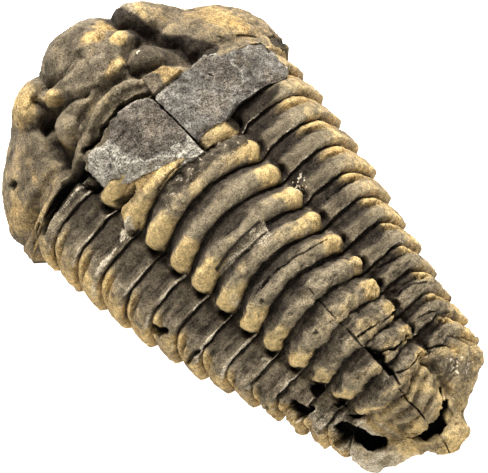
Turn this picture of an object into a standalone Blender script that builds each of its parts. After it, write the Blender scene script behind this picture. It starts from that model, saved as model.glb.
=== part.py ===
"""A fossil calymenid trilobite, lying belly down, as one solid lump of stone.

The model is in metres: +Y towards the head, +Z up, the flat underside at Z = 0.
The sizes named here are in millimetres, and MM turns them into metres.
"""

import math

import bmesh
import bpy
import numpy as np

MM = 0.001
QUARTER_TURN = math.pi / 2

# Lengths along the body
SEGMENTS = 13
NECK_Y = 18.2
HEAD_LENGTH = 14.4
FIRST_BACK = 19.3
FIRST_PITCH = 3.62
PITCH_LOSS = 0.0026
HEAD_TURN = math.radians(5.0)
THORAX_SKEW = math.radians(1.2)

# Half widths and heights of the thorax, as (segment, millimetres)
AXIS_HALF = ((0, 7.9), (3, 7.7), (6, 7.1), (9, 6.3), (11, 5.4), (13, 4.4))
FULCRUM_HALF = ((0, 12.6), (3, 12.2), (6, 11.4), (9, 10.4), (11, 9.0), (13, 7.4))
TIP_HALF = ((0, 17.6), (3, 16.7), (6, 14.8), (9, 12.2), (11, 10.6), (13, 9.2))
CREST_HIGH = ((0, 15.7), (3, 16.3), (6, 16.3), (9, 15.0), (11, 12.9), (13, 10.2))
FURROW_HIGH = ((0, 10.8), (3, 11.1), (6, 11.0), (9, 10.2), (11, 8.9), (13, 7.0))
FULCRUM_HIGH = ((0, 9.6), (3, 9.9), (6, 9.8), (9, 9.0), (11, 7.9), (13, 6.2))
CREST_FORWARD = ((0, 0.3), (6, 0.3), (9, 0.1), (11, -0.5), (13, -1.4))
TIP_BACK = ((0, 0.9), (6, 0.7), (9, 0.8), (11, 1.2), (13, 1.5))
TIP_HIGH = 1.5
TIP_SWEEP_POWER = 1.4

# The hind segments lean to the right and the tail lies off the middle
RIGHT_TIP_BACK = 0.6
TAIL_SHIFT = 0.35
LEAN_FROM = 8
SHIFT_FROM = 6

# Where the furrow beside the axis and the bend of the side lobe lie across the sheet
FURROW_AT = 0.42
FULCRUM_AT = 0.74

# Relief of one segment from front to back, as (share of its length, millimetres)
RING_RELIEF = ((0, -0.55), (0.12, -0.3), (0.3, 0.0), (0.52, 0.4), (0.8, 0.42), (0.97, 0.1))
INNER_RELIEF = ((0, -0.4), (0.12, -0.1), (0.22, 0.0), (0.36, -0.4), (0.55, 0.12), (0.8, 0.2), (0.97, 0.2))
OUTER_RELIEF = ((0, -0.9), (0.12, -0.2), (0.22, 0.1), (0.36, -0.6), (0.55, 0.15), (0.8, 0.35), (0.97, 0.0))
ROW_PHASES = (0.0, 0.12, 0.32, 0.55, 0.8, 0.97)
FIRST_PHASE = 0.3

# Each ring is narrow and pointed at its edges, wide and round in its middle
RING_FULLNESS = (0.2, 0.65)
RING_WIDTH = (0.93, 0.08)
TIP_STEP = 0.45

# Pits in the furrow beside the axis, one behind each ring end
FURROW_DEEP = 0.4
PIT_DEEP = 0.9
PIT_PHASE = 0.72
PIT_LONG = 0.2
PIT_WIDE = 0.035

# Head shield, in its own plan: across and forward of the neck
HEAD_HALF = 19.0
HEAD_SIDE = 18.6
HEAD_CENTRE = -1.0
RIM_HIGH = 1.5
CHEEK_HIGH = 10.6
CHEEK_FALL = 3.6
CHEEK_ROUND = 0.6
WALL_POWER = 9
FRONT_DENT_AT = 12.5
FRONT_DENT_WIDE = 3.2
FRONT_DENT_DEEP = 1.2
NECK_BOW = 1.1
NECK_BOW_HALF = 7.5
GENAL_BACK = 1.0
GLABELLA_SHIFT = 0.5
GLABELLA_FALL = 3.4
GLABELLA_HALF = ((0, 6.8), (3.2, 7.0), (5.0, 5.7), (7.0, 5.8), (8.6, 4.8), (10.5, 4.6), (13, 3.4))
GLABELLA_CREST = (
    (0, 14.6),
    (3, 15.4),
    (5, 15.3),
    (8, 14.6),
    (10.5, 13.8),
    (12.6, 12.5),
    (13.4, 10.0),
    (14, 4.0),
)

# Lobes of the head as (across, forward, half width, half length, top, fall)
BACK_LOBE = (5.1, 3.2, 2.0, 2.0, 14.4, 2.6)
MIDDLE_LOBE = (4.4, 7.0, 1.7, 1.7, 13.8, 2.4)
EYE_LOBE = (7.3, 9.85, 2.3, 2.2, 13.2, 3.0)

# Furrows and ridges of the head as (distance from their line, width, height)
SIDE_FURROW = (1.0, 1.4, -2.6)
BORDER_RIDGE = (0.7, 0.6, 0.35)
BORDER_FURROW = (2.1, 0.6, -0.9)
NECK_FURROW = (1.2, 0.45, -0.8)
SIDE_FURROW_ENDS = (14, 11)
BORDER_STARTS = (7, 9)
NECK_FURROW_ENDS = (7.5, 6)

# The raised ring at the back of the glabella
NECK_RING_HIGH = 15.8
NECK_RING_DROP = 4.0
NECK_RING_HALF = 8
NECK_RING_POWER = 2.4
NECK_RING_LONG = 0.9
NECK_RING_FALL = 0.9
NECK_RING_AT = 1.9
NECK_RING_BOW = 1.6
NECK_RING_BOW_HALF = 7

SOFT_BLEND = 1.2
BLEND = 0.5
TIGHT_BLEND = 0.3

# Tail shield outline as (half width, distance behind the thorax)
TAIL_HALF = 9.1
TAIL_OUTLINE = (
    (0, 8.5),
    (1.2, 8.1),
    (2.1, 7.4),
    (2.4, 6.6),
    (3.5, 5.9),
    (5.6, 5.1),
    (7.4, 4.2),
    (8.2, 3.8),
    (8.8, 3.1),
    (9.1, 2.5),
)
TAIL_FRONT = 1.6
TAIL_FRONT_SLANT = 0.5
TAIL_FIELD_HIGH = 7.0
TAIL_FIELD_SLOPE = 0.6
TAIL_FLAT_HALF = 4
TAIL_SIDE_DROP = 0.1
TAIL_SIDE_POWER = 1.3
TAIL_RIDGE = (1.4, 0.45, 0.35)
TAIL_GROOVE = (2.3, 0.45, -0.3)
TAIL_EDGE_ROUND = 2.0
TAIL_AXIS_HALF = 4.4
TAIL_AXIS_TAPER = 0.32
TAIL_AXIS_HIGH = 10.4
TAIL_AXIS_SLOPE = 0.95
TAIL_AXIS_ARCH = 3.0
TAIL_AXIS_POWER = 2.6
TAIL_AXIS_ENDS = (4.9, 4.2)
TAIL_RING_PITCH = 1.07
TAIL_RING_FIRST = 0.8
TAIL_RING_RELIEF = 0.22
TAIL_KNOB = (0, 7.2, 2.4, 1.5, 4.4, 2.0)

# Broken hollows as (across, along, half width, half length, turn in degrees, depth)
HOLLOWS = (
    (-13.3, 0.3, 0.75, 0.7, 0, 1.4),
    (-9.2, -16.9, 1.35, 1.0, 0, 2.0),
    (-6.2, -23.2, 1.15, 2.9, 32, 2.6),
    (-4.9, -21.3, 0.5, 0.9, 0, 1.2),
    (-5.4, -19.0, 0.5, 0.8, 0, 1.0),
    (1.0, -20.0, 0.4, 2.0, 0, 1.3),
    (-1.3, -26.9, 1.7, 0.65, -28, 1.8),
    (1.6, -26.9, 1.7, 0.65, 28, 1.8),
)
HOLLOW_OUTSIDE = 1.3
HOLLOW_INSIDE = 0.7

# Grey rock slabs over the neck, as edges of (across, along) points
SLAB_TOP = ((0, 17.2), (3.5, 16.5), (7, 13.9), (9.5, 12.3), (12.5, 11.0), (15.5, 7.6), (17, 4.6))
SLAB_THICK = 1.5
SLABS = {
    "left slab": (
        ((-6.9, 16.9), (-4.6, 17.2), (0, 18.0), (3.45, 17.4)),
        ((-6.6, 14.2), (-4.2, 12.5), (-1.8, 11.6), (1.0, 9.5), (3.4, 8.6)),
    ),
    "right slab": (
        ((3.6, 16.3), (7.4, 17.3), (9.9, 17.6), (12.0, 16.3), (15.6, 16.4), (16.9, 15.6)),
        ((3.55, 9.4), (6.8, 10.1), (8.5, 11.0), (12.3, 10.8), (15.5, 11.2), (16.7, 13.0)),
    ),
}

# The underside is drawn in a little from the outline
FOOT_WIDTH = 0.95
FOOT_LENGTH = 0.97

# How finely the surfaces are divided
COLUMNS = 38
COLUMN_SPREAD = 1.35
HEAD_ROWS = 21
TAIL_ROWS = 16
SLAB_COLUMNS = 8
SLAB_ROWS = 4
SHARP_ANGLE = math.radians(40)

STONE_COLOUR = (0.24, 0.18, 0.11, 1)
STONE_ROUGHNESS = 0.85


def curve(points, at):
    """Smooth curve through (place, value) points, level beyond both ends."""
    places = np.array([place for place, _ in points], float)
    values = np.array([value for _, value in points], float)
    slopes = np.gradient(values, places)
    cell = np.clip(np.searchsorted(places, at) - 1, 0, len(places) - 2)
    width = places[cell + 1] - places[cell]
    t = np.clip((at - places[cell]) / width, 0, 1)
    start = (1 + 2 * t) * (1 - t) ** 2 * values[cell] + t * (1 - t) ** 2 * width * slopes[cell]
    end = t * t * (3 - 2 * t) * values[cell + 1] - t * t * (1 - t) * width * slopes[cell + 1]
    return start + end


def ease(low, high, at):
    """0 at low and 1 at high, with a smooth change between."""
    t = np.clip((at - low) / (high - low), 0, 1)
    return t * t * (3 - 2 * t)


def hump(centre, width, at):
    """A bell shape that is 1 at its centre."""
    return np.exp(-(((at - centre) / width) ** 2))


def fold(at, line):
    """Height of a long ridge or furrow at a distance from the line that it follows."""
    centre, width, height = line
    return height * hump(centre, width, at)


def merge_highest(first, second, blend):
    """The higher of two surfaces, with the corner between them rounded over blend."""
    near = np.clip(0.5 + 0.5 * (second - first) / blend, 0, 1)
    return first * (1 - near) + second * near + blend * near * (1 - near)


def lump(x, y, shape):
    """Height of a rounded lobe with its top at (across, forward)."""
    across, forward, half_width, half_length, top, fall = shape
    return top - fall * (((x - across) / half_width) ** 2 + ((y - forward) / half_length) ** 2)


def spread(side):
    """How far out a column of the head or tail lies, as a share of the half width."""
    return np.sin(QUARTER_TURN * side**COLUMN_SPREAD)


def crowd(share):
    """Rows from 0 to 1 that crowd together near the outer edge at 1."""
    return 0.5 * share + 0.5 * np.sin(QUARTER_TURN * share)


def segment_y(place):
    """Where a place counted in segments lies along the body."""
    return FIRST_BACK - FIRST_PITCH * place + PITCH_LOSS * place**3


def neck_line(across):
    """The back edge of the head, ahead of the neck."""
    side = np.abs(across)
    bow = NECK_BOW * np.clip(side / NECK_BOW_HALF, 0, 1) ** 2
    return -bow - GENAL_BACK * ease(8, 17, side)


def segment_rows():
    """Segment number and share of its length for each row of the thorax."""
    number = np.repeat(np.arange(SEGMENTS), len(ROW_PHASES))[:, None]
    phase = np.tile(ROW_PHASES, SEGMENTS)[:, None]
    seen = (number + phase)[:, 0] > FIRST_PHASE
    return number[seen], phase[seen]


def thorax_section(place, phase, side):
    """Distance out and height of the smooth thorax, before its relief."""
    axis = np.clip(side / FURROW_AT, 0, 1)
    inner = np.clip((side - FURROW_AT) / (FULCRUM_AT - FURROW_AT), 0, 1)
    bend = QUARTER_TURN * np.clip((side - FULCRUM_AT) / (1 - FULCRUM_AT), 0, 1)
    swell = np.sin(math.pi * phase)
    fullness = RING_FULLNESS[0] + RING_FULLNESS[1] * swell
    furrow_half = curve(AXIS_HALF, place)
    ring_half = furrow_half * (RING_WIDTH[0] + RING_WIDTH[1] * swell)
    fulcrum_half = curve(FULCRUM_HALF, place)
    tip_half = curve(TIP_HALF, place) - TIP_STEP * (1 - ease(0, 0.5, phase))
    furrow = curve(FURROW_HIGH, place)
    fulcrum = curve(FULCRUM_HIGH, place)
    x = ring_half * (fullness * np.sin(QUARTER_TURN * axis) + (1 - fullness) * axis)
    x = x + (furrow_half - ring_half) * ease(0, 0.2, inner)
    x = x + (fulcrum_half - furrow_half) * inner + (tip_half - fulcrum_half) * np.sin(bend)
    z = furrow + (curve(CREST_HIGH, place) - furrow) * np.cos(QUARTER_TURN * axis)
    z = z + (fulcrum - furrow) * inner - (fulcrum - TIP_HIGH) * (1 - np.cos(bend))
    return x, z


def segment_relief(phase, side):
    """How far the surface stands proud of the smooth thorax."""
    on_axis = 1 - ease(FURROW_AT - 0.02, FURROW_AT + 0.03, side)
    on_margin = ease(FULCRUM_AT - 0.1, FULCRUM_AT + 0.16, side)
    lobe = curve(INNER_RELIEF, phase) * (1 - on_margin) + curve(OUTER_RELIEF, phase) * on_margin
    return curve(RING_RELIEF, phase) * on_axis + lobe * (1 - on_axis)


def thorax(columns):
    """Rows of points of the thorax, from the neck to the tail."""
    number, phase = segment_rows()
    place = number + phase
    side = np.abs(columns)
    hand = np.sign(columns)
    x, z = thorax_section(place, phase, side)
    x = x * hand
    across_x = np.gradient(x, columns[0], axis=1)
    across_z = np.gradient(z, columns[0], axis=1)
    relief = segment_relief(phase, side) / np.hypot(across_x, across_z)
    x = x - across_z * relief
    z = z + across_x * relief
    pit = FURROW_DEEP + PIT_DEEP * hump(PIT_PHASE, PIT_LONG, phase)
    z = z - pit * hump(FURROW_AT + 0.02, PIT_WIDE, side)

    crest = np.cos(QUARTER_TURN * np.clip(side / FURROW_AT, 0, 1))
    outer = np.clip((side - FULCRUM_AT) / (1 - FULCRUM_AT), 0, 1)
    sweep = curve(TIP_BACK, place) + RIGHT_TIP_BACK * ease(LEAN_FROM, SEGMENTS, place) * hand
    y = segment_y(place) + curve(CREST_FORWARD, place) * crest - sweep * outer**TIP_SWEEP_POWER
    y = y - math.tan(THORAX_SKEW) * x * ease(SEGMENTS, LEAN_FROM, place)
    row = np.arange(len(place))[:, None]
    head_back = NECK_Y + neck_line(x) - math.sin(HEAD_TURN) * x
    y = np.minimum(y, head_back - 0.1 * (row + 1))
    return np.stack([x + TAIL_SHIFT * ease(SHIFT_FROM, SEGMENTS, place), y, z], axis=2)


def front_dent(across):
    """The hollow in the right front edge of the head."""
    return FRONT_DENT_DEEP * hump(FRONT_DENT_AT, FRONT_DENT_WIDE, across)


def cheek_height(side, y, reach, border):
    """Height of the cheeks, with the furrows beside the glabella and along the back."""
    dome = RIM_HIGH + CHEEK_HIGH * (1 - reach**CHEEK_FALL) ** CHEEK_ROUND
    beside = side - curve(GLABELLA_HALF, y)
    dome = dome + fold(beside, SIDE_FURROW) * ease(*SIDE_FURROW_ENDS, y)
    dome = merge_highest(dome, lump(side, y, EYE_LOBE), SOFT_BLEND)
    folds = fold(border, BORDER_RIDGE) + fold(border, BORDER_FURROW)
    return dome + folds * ease(*BORDER_STARTS, side)


def glabella_height(side, y):
    """Height of the raised middle of the head, with its lobes and the ring at the neck."""
    hood = curve(GLABELLA_CREST, y) - GLABELLA_FALL * (side / curve(GLABELLA_HALF, y)) ** 3
    hood = merge_highest(hood, lump(side, y, BACK_LOBE), BLEND)
    hood = merge_highest(hood, lump(side, y, MIDDLE_LOBE), BLEND)
    arch = NECK_RING_AT - NECK_RING_BOW * (side / NECK_RING_BOW_HALF) ** 2
    hood = hood + fold(y - arch, NECK_FURROW) * ease(*NECK_FURROW_ENDS, side)
    ring = NECK_RING_HIGH - NECK_RING_DROP * (side / NECK_RING_HALF) ** NECK_RING_POWER
    ring = ring - NECK_RING_FALL * ((y - arch) / NECK_RING_LONG) ** 2
    return merge_highest(hood, ring, TIGHT_BLEND)


def head_height(x, y):
    """Height of the head shield at a place across and forward of the neck."""
    forward = np.clip(y - HEAD_CENTRE + front_dent(x) * ease(0, 6, y), 0, None)
    reach = np.clip(np.hypot(x / HEAD_HALF, forward / (HEAD_LENGTH - HEAD_CENTRE)), 0, 1)
    side = np.abs(x - GLABELLA_SHIFT)
    cheeks = cheek_height(side, y, reach, y - neck_line(x))
    height = merge_highest(cheeks, glabella_height(side, y), BLEND)
    wall = RIM_HIGH + (height - RIM_HIGH) * np.sqrt(1 - reach**WALL_POWER)
    return np.minimum(height, wall)


def head(columns):
    """Rows of points of the head shield, from its front edge to the neck."""
    side = np.abs(columns)
    across = HEAD_SIDE * spread(side) * np.sign(columns)
    back = neck_line(across)
    bulge = np.sqrt(1 - (across / HEAD_HALF) ** 2)
    front = HEAD_CENTRE + (HEAD_LENGTH - HEAD_CENTRE) * bulge - front_dent(across)
    share = crowd(np.linspace(1, 0, HEAD_ROWS))[:, None]
    y = back + (front - back) * share
    x = across + 0 * y
    margin = ease(0.92, 1, side)
    z = head_height(x, y) * (1 - margin) + RIM_HIGH * margin
    turned_x = x * math.cos(HEAD_TURN) + y * math.sin(HEAD_TURN)
    turned_y = y * math.cos(HEAD_TURN) - x * math.sin(HEAD_TURN)
    return np.stack([turned_x, turned_y + NECK_Y, z], axis=2)


def tail_height(x, y, edge):
    """Height of the tail shield: y is measured back from the thorax, edge in from the outline."""
    side = np.abs(x)
    beyond = np.clip(side - TAIL_FLAT_HALF, 0, None)
    field = TAIL_FIELD_HIGH - TAIL_FIELD_SLOPE * y - TAIL_SIDE_DROP * beyond**TAIL_SIDE_POWER
    field = field + fold(edge, TAIL_RIDGE) + fold(edge, TAIL_GROOVE)
    rings = TAIL_RING_RELIEF * np.cos(4 * QUARTER_TURN * (y - TAIL_RING_FIRST) / TAIL_RING_PITCH)
    arch = TAIL_AXIS_ARCH * (side / (TAIL_AXIS_HALF - TAIL_AXIS_TAPER * y)) ** TAIL_AXIS_POWER
    axis = TAIL_AXIS_HIGH - TAIL_AXIS_SLOPE * y + rings - arch
    end = ease(*TAIL_AXIS_ENDS, y)
    field = merge_highest(field, axis * end + field * (1 - end), BLEND)
    field = merge_highest(field, lump(x, y, TAIL_KNOB), BLEND)
    inward = np.clip(edge / TAIL_EDGE_ROUND, 0, 1)
    return RIM_HIGH + np.clip(field - RIM_HIGH, 0.3, None) * np.sqrt(1 - (1 - inward) ** 2)


def tail(columns):
    """Rows of points of the tail shield, from the thorax to its end."""
    across = TAIL_HALF * spread(np.abs(columns))
    hand = np.sign(columns)
    outer = (TAIL_FRONT + TAIL_FRONT_SLANT * hand) * ease(5, TAIL_HALF, across)
    front = TAIL_FRONT * (1 - ease(0, TAIL_AXIS_HALF, across)) + outer
    back = curve(TAIL_OUTLINE, across)
    share = crowd(np.linspace(0, 1, TAIL_ROWS))[:, None]
    y = front + (back - front) * share
    x = across * hand + 0 * y
    edge = np.minimum(TAIL_HALF - np.abs(x), (back - y) * 0.9)
    return np.stack([x + TAIL_SHIFT, segment_y(SEGMENTS) - y, tail_height(x, y, edge)], axis=2)


def press_hollows(points):
    """Push the broken hollows into the skin, against its outward direction."""
    outward = np.cross(np.gradient(points, axis=0), np.gradient(points, axis=1))
    outward = outward / np.linalg.norm(outward, axis=2, keepdims=True)
    pressed = points.copy()
    for x, y, half_width, half_length, turn, depth in HOLLOWS:
        dx = points[..., 0] - x
        dy = points[..., 1] - y
        angle = math.radians(turn)
        wide = (dx * math.cos(angle) + dy * math.sin(angle)) / half_width
        long = (dy * math.cos(angle) - dx * math.sin(angle)) / half_length
        share = ease(HOLLOW_OUTSIDE, HOLLOW_INSIDE, np.hypot(wide, long))
        pressed -= outward * (depth * share)[..., None]
    return pressed


def skin_points():
    """The whole upper surface, as rows of points from the front of the head to the tail."""
    columns = np.linspace(-1, 1, COLUMNS + 1)[None, :]
    points = np.concatenate([head(columns), thorax(columns), tail(columns)])
    return press_hollows(points)


def slab_points(front, back):
    """Top of a rock slab between its front and back edges, draped over the rings."""
    share = np.linspace(0, 1, SLAB_COLUMNS + 1)
    edges = []
    for edge in (front, back):
        knots = np.linspace(0, 1, len(edge))
        edges.append([np.interp(share, knots, [place[axis] for place in edge]) for axis in (0, 1)])
    down = np.linspace(0, 1, SLAB_ROWS + 1)[:, None]
    x = edges[0][0] * (1 - down) + edges[1][0] * down
    y = edges[0][1] * (1 - down) + edges[1][1] * down
    return np.stack([x, y, curve(SLAB_TOP, np.abs(x))], axis=2)


def stone_material():
    material = bpy.data.materials.new("ochre brown stone")
    material.use_nodes = True
    shader = material.node_tree.nodes["Principled BSDF"]
    shader.inputs["Base Color"].default_value = STONE_COLOUR
    shader.inputs["Roughness"].default_value = STONE_ROUGHNESS
    shader.inputs["Metallic"].default_value = 0.0
    return material


def grid_over(points):
    """A grid of faces, with a row of its corners for each row of places."""
    rows, columns = points.shape[:2]
    bm = bmesh.new()
    bmesh.ops.create_grid(bm, x_segments=columns - 1, y_segments=rows - 1, size=1)
    order = sorted(bm.verts, key=lambda vertex: (-round(vertex.co.y, 5), vertex.co.x))
    for vertex, place in zip(order, points.reshape(-1, 3) * MM):
        vertex.co = place
    return bm


def close_below(bm, foot_place):
    """Carry the open edge of a skin down to the foot and fill it."""
    rim = [edge for edge in bm.edges if edge.is_boundary]
    made = bmesh.ops.extrude_edge_only(bm, edges=rim)["geom"]
    for vertex in made:
        if isinstance(vertex, bmesh.types.BMVert):
            foot_place(vertex.co)
    edges = [edge for edge in bm.edges if edge.is_boundary]
    bmesh.ops.triangle_fill(bm, edges=edges, use_beauty=True)
    bmesh.ops.recalc_face_normals(bm, faces=bm.faces)


def body_foot(place):
    place.x *= FOOT_WIDTH
    place.y *= FOOT_LENGTH
    place.z = 0


def slab_foot(place):
    place.z -= SLAB_THICK * MM


def object_from(bm, name, centre):
    """An object made of the mesh, with the middle of the fossil moved to X = Y = 0."""
    bmesh.ops.translate(bm, verts=bm.verts, vec=(-centre[0] * MM, -centre[1] * MM, 0))
    mesh = bpy.data.meshes.new(name)
    bm.to_mesh(mesh)
    bm.free()
    mesh.shade_smooth()
    mesh.set_sharp_from_angle(angle=SHARP_ANGLE)
    made = bpy.data.objects.new(name, mesh)
    bpy.context.scene.collection.objects.link(made)
    return made


def main():
    for old in list(bpy.data.objects):
        bpy.data.objects.remove(old, do_unlink=True)
    points = skin_points()
    centre = (points.min(axis=(0, 1)) + points.max(axis=(0, 1))) / 2
    skin = grid_over(points)
    close_below(skin, body_foot)
    body = object_from(skin, "trilobite", centre)
    body.data.materials.append(stone_material())
    for name, (front, back) in SLABS.items():
        top = grid_over(slab_points(front, back))
        close_below(top, slab_foot)
        slab = object_from(top, name, centre)
        slab.hide_render = True
        slab.display_type = "WIRE"
        fused = body.modifiers.new(name, "BOOLEAN")
        fused.operation = "UNION"
        fused.object = slab


main()
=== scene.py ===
"""The looks of the trilobite fossil: its stone skin, the rock left on its neck, floor, light and camera."""

import itertools
import math

import bpy
import numpy as np
from mathutils import Matrix, Vector


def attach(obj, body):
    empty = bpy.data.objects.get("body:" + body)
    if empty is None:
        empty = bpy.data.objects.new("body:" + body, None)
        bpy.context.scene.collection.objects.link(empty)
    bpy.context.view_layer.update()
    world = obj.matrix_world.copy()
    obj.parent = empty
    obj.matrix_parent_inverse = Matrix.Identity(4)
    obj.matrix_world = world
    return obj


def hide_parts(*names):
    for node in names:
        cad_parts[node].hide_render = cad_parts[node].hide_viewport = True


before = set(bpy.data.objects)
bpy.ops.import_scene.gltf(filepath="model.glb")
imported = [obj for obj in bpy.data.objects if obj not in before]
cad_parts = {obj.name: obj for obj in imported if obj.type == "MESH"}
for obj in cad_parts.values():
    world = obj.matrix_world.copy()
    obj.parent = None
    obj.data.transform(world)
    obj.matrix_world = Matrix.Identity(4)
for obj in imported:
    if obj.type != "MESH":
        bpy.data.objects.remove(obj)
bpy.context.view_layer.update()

# Shapes are worked out in millimetres and MM turns them into metres
MM = 0.001
QUARTER_TURN = math.pi / 2

# The middle of the body's plan, which lies over the frame's origin
BODY_CENTRE = (0.0005, 1.0418, 0.0)

# Lengths along the body, and where it leans
SEGMENTS = 13
NECK_Y = 18.2
HEAD_LENGTH = 14.4
FIRST_BACK = 19.3
FIRST_PITCH = 3.62
PITCH_LOSS = 0.0026
FIRST_PLACE = 0.3
HEAD_TURN = math.radians(5.0)
THORAX_SKEW = math.radians(1.2)
TAIL_SHIFT = 0.35
SHIFT_FROM = 6
LEAN_FROM = 8

# Half widths and heights of the thorax, as (segment, millimetres)
AXIS_HALF = ((0, 7.9), (3, 7.7), (6, 7.1), (9, 6.3), (11, 5.4), (13, 4.4))
FULCRUM_HALF = ((0, 12.6), (3, 12.2), (6, 11.4), (9, 10.4), (11, 9.0), (13, 7.4))
TIP_HALF = ((0, 17.6), (3, 16.7), (6, 14.8), (9, 12.2), (11, 10.6), (13, 9.2))
CREST_HIGH = ((0, 15.7), (3, 16.3), (6, 16.3), (9, 15.0), (11, 12.9), (13, 10.2))
FURROW_HIGH = ((0, 10.8), (3, 11.1), (6, 11.0), (9, 10.2), (11, 8.9), (13, 7.0))
FULCRUM_HIGH = ((0, 9.6), (3, 9.9), (6, 9.8), (9, 9.0), (11, 7.9), (13, 6.2))
CREST_FORWARD = ((0, 0.3), (6, 0.3), (9, 0.1), (11, -0.5), (13, -1.4))
TIP_BACK = ((0, 0.9), (6, 0.7), (9, 0.8), (11, 1.2), (13, 1.5))
TIP_HIGH = 1.5
TIP_SWEEP_POWER = 1.4
RIGHT_TIP_BACK = 0.6
TIP_STEP = 0.45
TIP_STEP_SPAN = (0, 0.5)
TIP_NOTCH = 0.25
TIP_NOTCH_SPAN = (0.9, 1)
RING_FULLNESS = (0.2, 0.65)
RING_WIDTH = (0.93, 0.08)
RING_FOOT = 0.2

# Columns of the skin run from 0 in the middle to 1 at the edge, negative on the left
FURROW_AT = 0.42
FULCRUM_AT = 0.74
AXIS_FADE = (FURROW_AT - 0.02, FURROW_AT + 0.03)
MARGIN_FADE = (FULCRUM_AT - 0.1, FULCRUM_AT + 0.16)
TIP_FROM = (0.8, 0.92)
RIGHT_LOBES_AHEAD = 0.35
RIGHT_LOBES_AT = (3, 3)
RIGHT_LOBES_FROM = (FURROW_AT, FURROW_AT + 0.1)
RIGHT_LOBES_TO = (1.0, 0.85)

# Relief of one segment from front to back, as (share of its length, millimetres)
RING_RELIEF = (
    (0, -0.8), (0.06, -0.74), (0.2, -0.62), (0.34, -0.46), (0.44, -0.26), (0.54, -0.02),
    (0.64, 0.18), (0.76, 0.36), (0.87, 0.36), (0.94, 0.18), (0.98, -0.06), (1.0, -0.42),
)
RIGHT_LOBE_RELIEF = (
    (0, -0.52), (0.05, -0.44), (0.1, -0.32), (0.2, -0.34), (0.34, -0.46), (0.48, -0.14),
    (0.62, 0.18), (0.8, 0.24), (0.9, 0.16), (0.96, 0.2), (0.985, 0.0), (1.0, -0.4),
)
LEFT_LOBE_RELIEF = (
    (0, -0.5), (0.05, -0.38), (0.1, -0.14), (0.22, 0.06), (0.42, 0.02), (0.58, -0.2),
    (0.68, -0.34), (0.78, -0.02), (0.88, 0.14), (0.955, 0.3), (0.985, 0.1), (1.0, -0.35),
)
MARGIN_RELIEF = (
    (0, -1.0), (0.05, -0.8), (0.11, -0.25), (0.2, 0.08), (0.28, 0.0), (0.36, -0.62),
    (0.44, -0.45), (0.54, 0.1), (0.72, 0.34), (0.88, 0.3), (0.95, 0.1), (1.0, -0.6),
)
TIP_RELIEF = ((0, -0.5), (0.1, -0.3), (0.3, -0.12), (0.6, 0.06), (0.85, 0.2), (0.95, 0.16), (1.0, -0.35))
LIP_SLIDE = ((0, -0.035), (0.05, -0.02), (0.12, 0.0), (0.86, 0.0), (0.93, 0.02), (0.975, 0.04), (1.0, 0.0))
HIND_RINGS = (7, 11)
RING_FLATTER = 0.35
LEVEL_RING = 2
LEVEL_SPAN = (0.22, 0.05)
LEVEL_SUNK = -0.12
FURROW_DEEP = 0.4
PIT_DEEP = 1.3
PIT_PHASE = (0.72, 0.17)
PIT_PLACE = (FURROW_AT + 0.02, 0.035)

# The sunken front band of a ring: its share of the length, and how uneven it is
BAND_PHASE = 0.38
BAND_LEAST = 0.2
BAND_MOST = 0.27
BAND_HALF = 0.4
BAND_THINNED = 0.55
BAND_THIN_AT = (0.13, 0.09)
BAND_UNEVEN = 0.35
BAND_STRETCH = (9, 3.3)

# Head shield, in its own plan: across and forward of the neck
HEAD_HALF = 19.0
HEAD_SIDE = 18.6
HEAD_CENTRE = -1.0
HEAD_EDGE = (0.92, 1)
RIM_HIGH = 1.5
CHEEK_HIGH = 10.6
CHEEK_FALL = 3.6
CHEEK_ROUND = 0.6
WALL_POWER = 9
FRONT_DENT_AT = 12.5
FRONT_DENT_WIDE = 3.2
FRONT_DENT_DEEP = 1.2
FRONT_DENT_SPAN = (0, 6)
NECK_BOW = 1.1
NECK_BOW_HALF = 7.5
GENAL_BACK = 1.0
GENAL_SPAN = (8, 17)
GLABELLA_SHIFT = 0.5
GLABELLA_FALL = 3.4
GLABELLA_HALF = ((0, 6.8), (3.2, 7.0), (5.0, 5.7), (7.0, 5.8), (8.6, 4.8), (10.5, 4.8), (13, 4.1))
GLABELLA_CREST = (
    (0, 14.6), (3, 15.4), (5, 15.3), (8, 14.6), (10.5, 14.1), (12.4, 13.7), (13.6, 12.6), (14.4, 9.0),
)
# Lobes as (across, forward, half width, half length, top, fall), folds as (centre, width, height)
BACK_LOBE = (5.2, 2.7, 2.0, 2.1, 14.7, 2.6)
MIDDLE_LOBE = (4.4, 7.0, 1.7, 1.7, 13.8, 2.4)
EYE_LOBE = (7.4, 9.6, 2.6, 2.9, 12.9, 2.6)
SIDE_FURROW = (1.0, 1.4, -2.6)
SIDE_FURROW_ENDS = (12.6, 9.6)
BORDER_RIDGE = (0.7, 0.6, 0.35)
BORDER_FURROW = (2.1, 0.6, -0.9)
BORDER_STARTS = (7, 9)
NECK_FURROW = (1.2, 0.45, -0.8)
NECK_FURROW_ENDS = (7.5, 6)
NECK_RING_HIGH = 15.8
NECK_RING_DROP = 4.0
NECK_RING_HALF = 8
NECK_RING_POWER = 2.4
NECK_RING_LONG = 0.9
NECK_RING_FALL = 0.9
NECK_RING_AT = 1.9
NECK_RING_BOW = 1.6
NECK_RING_BOW_HALF = 7
SOFT_BLEND = 1.2
BLEND = 0.5
TIGHT_BLEND = 0.3

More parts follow.
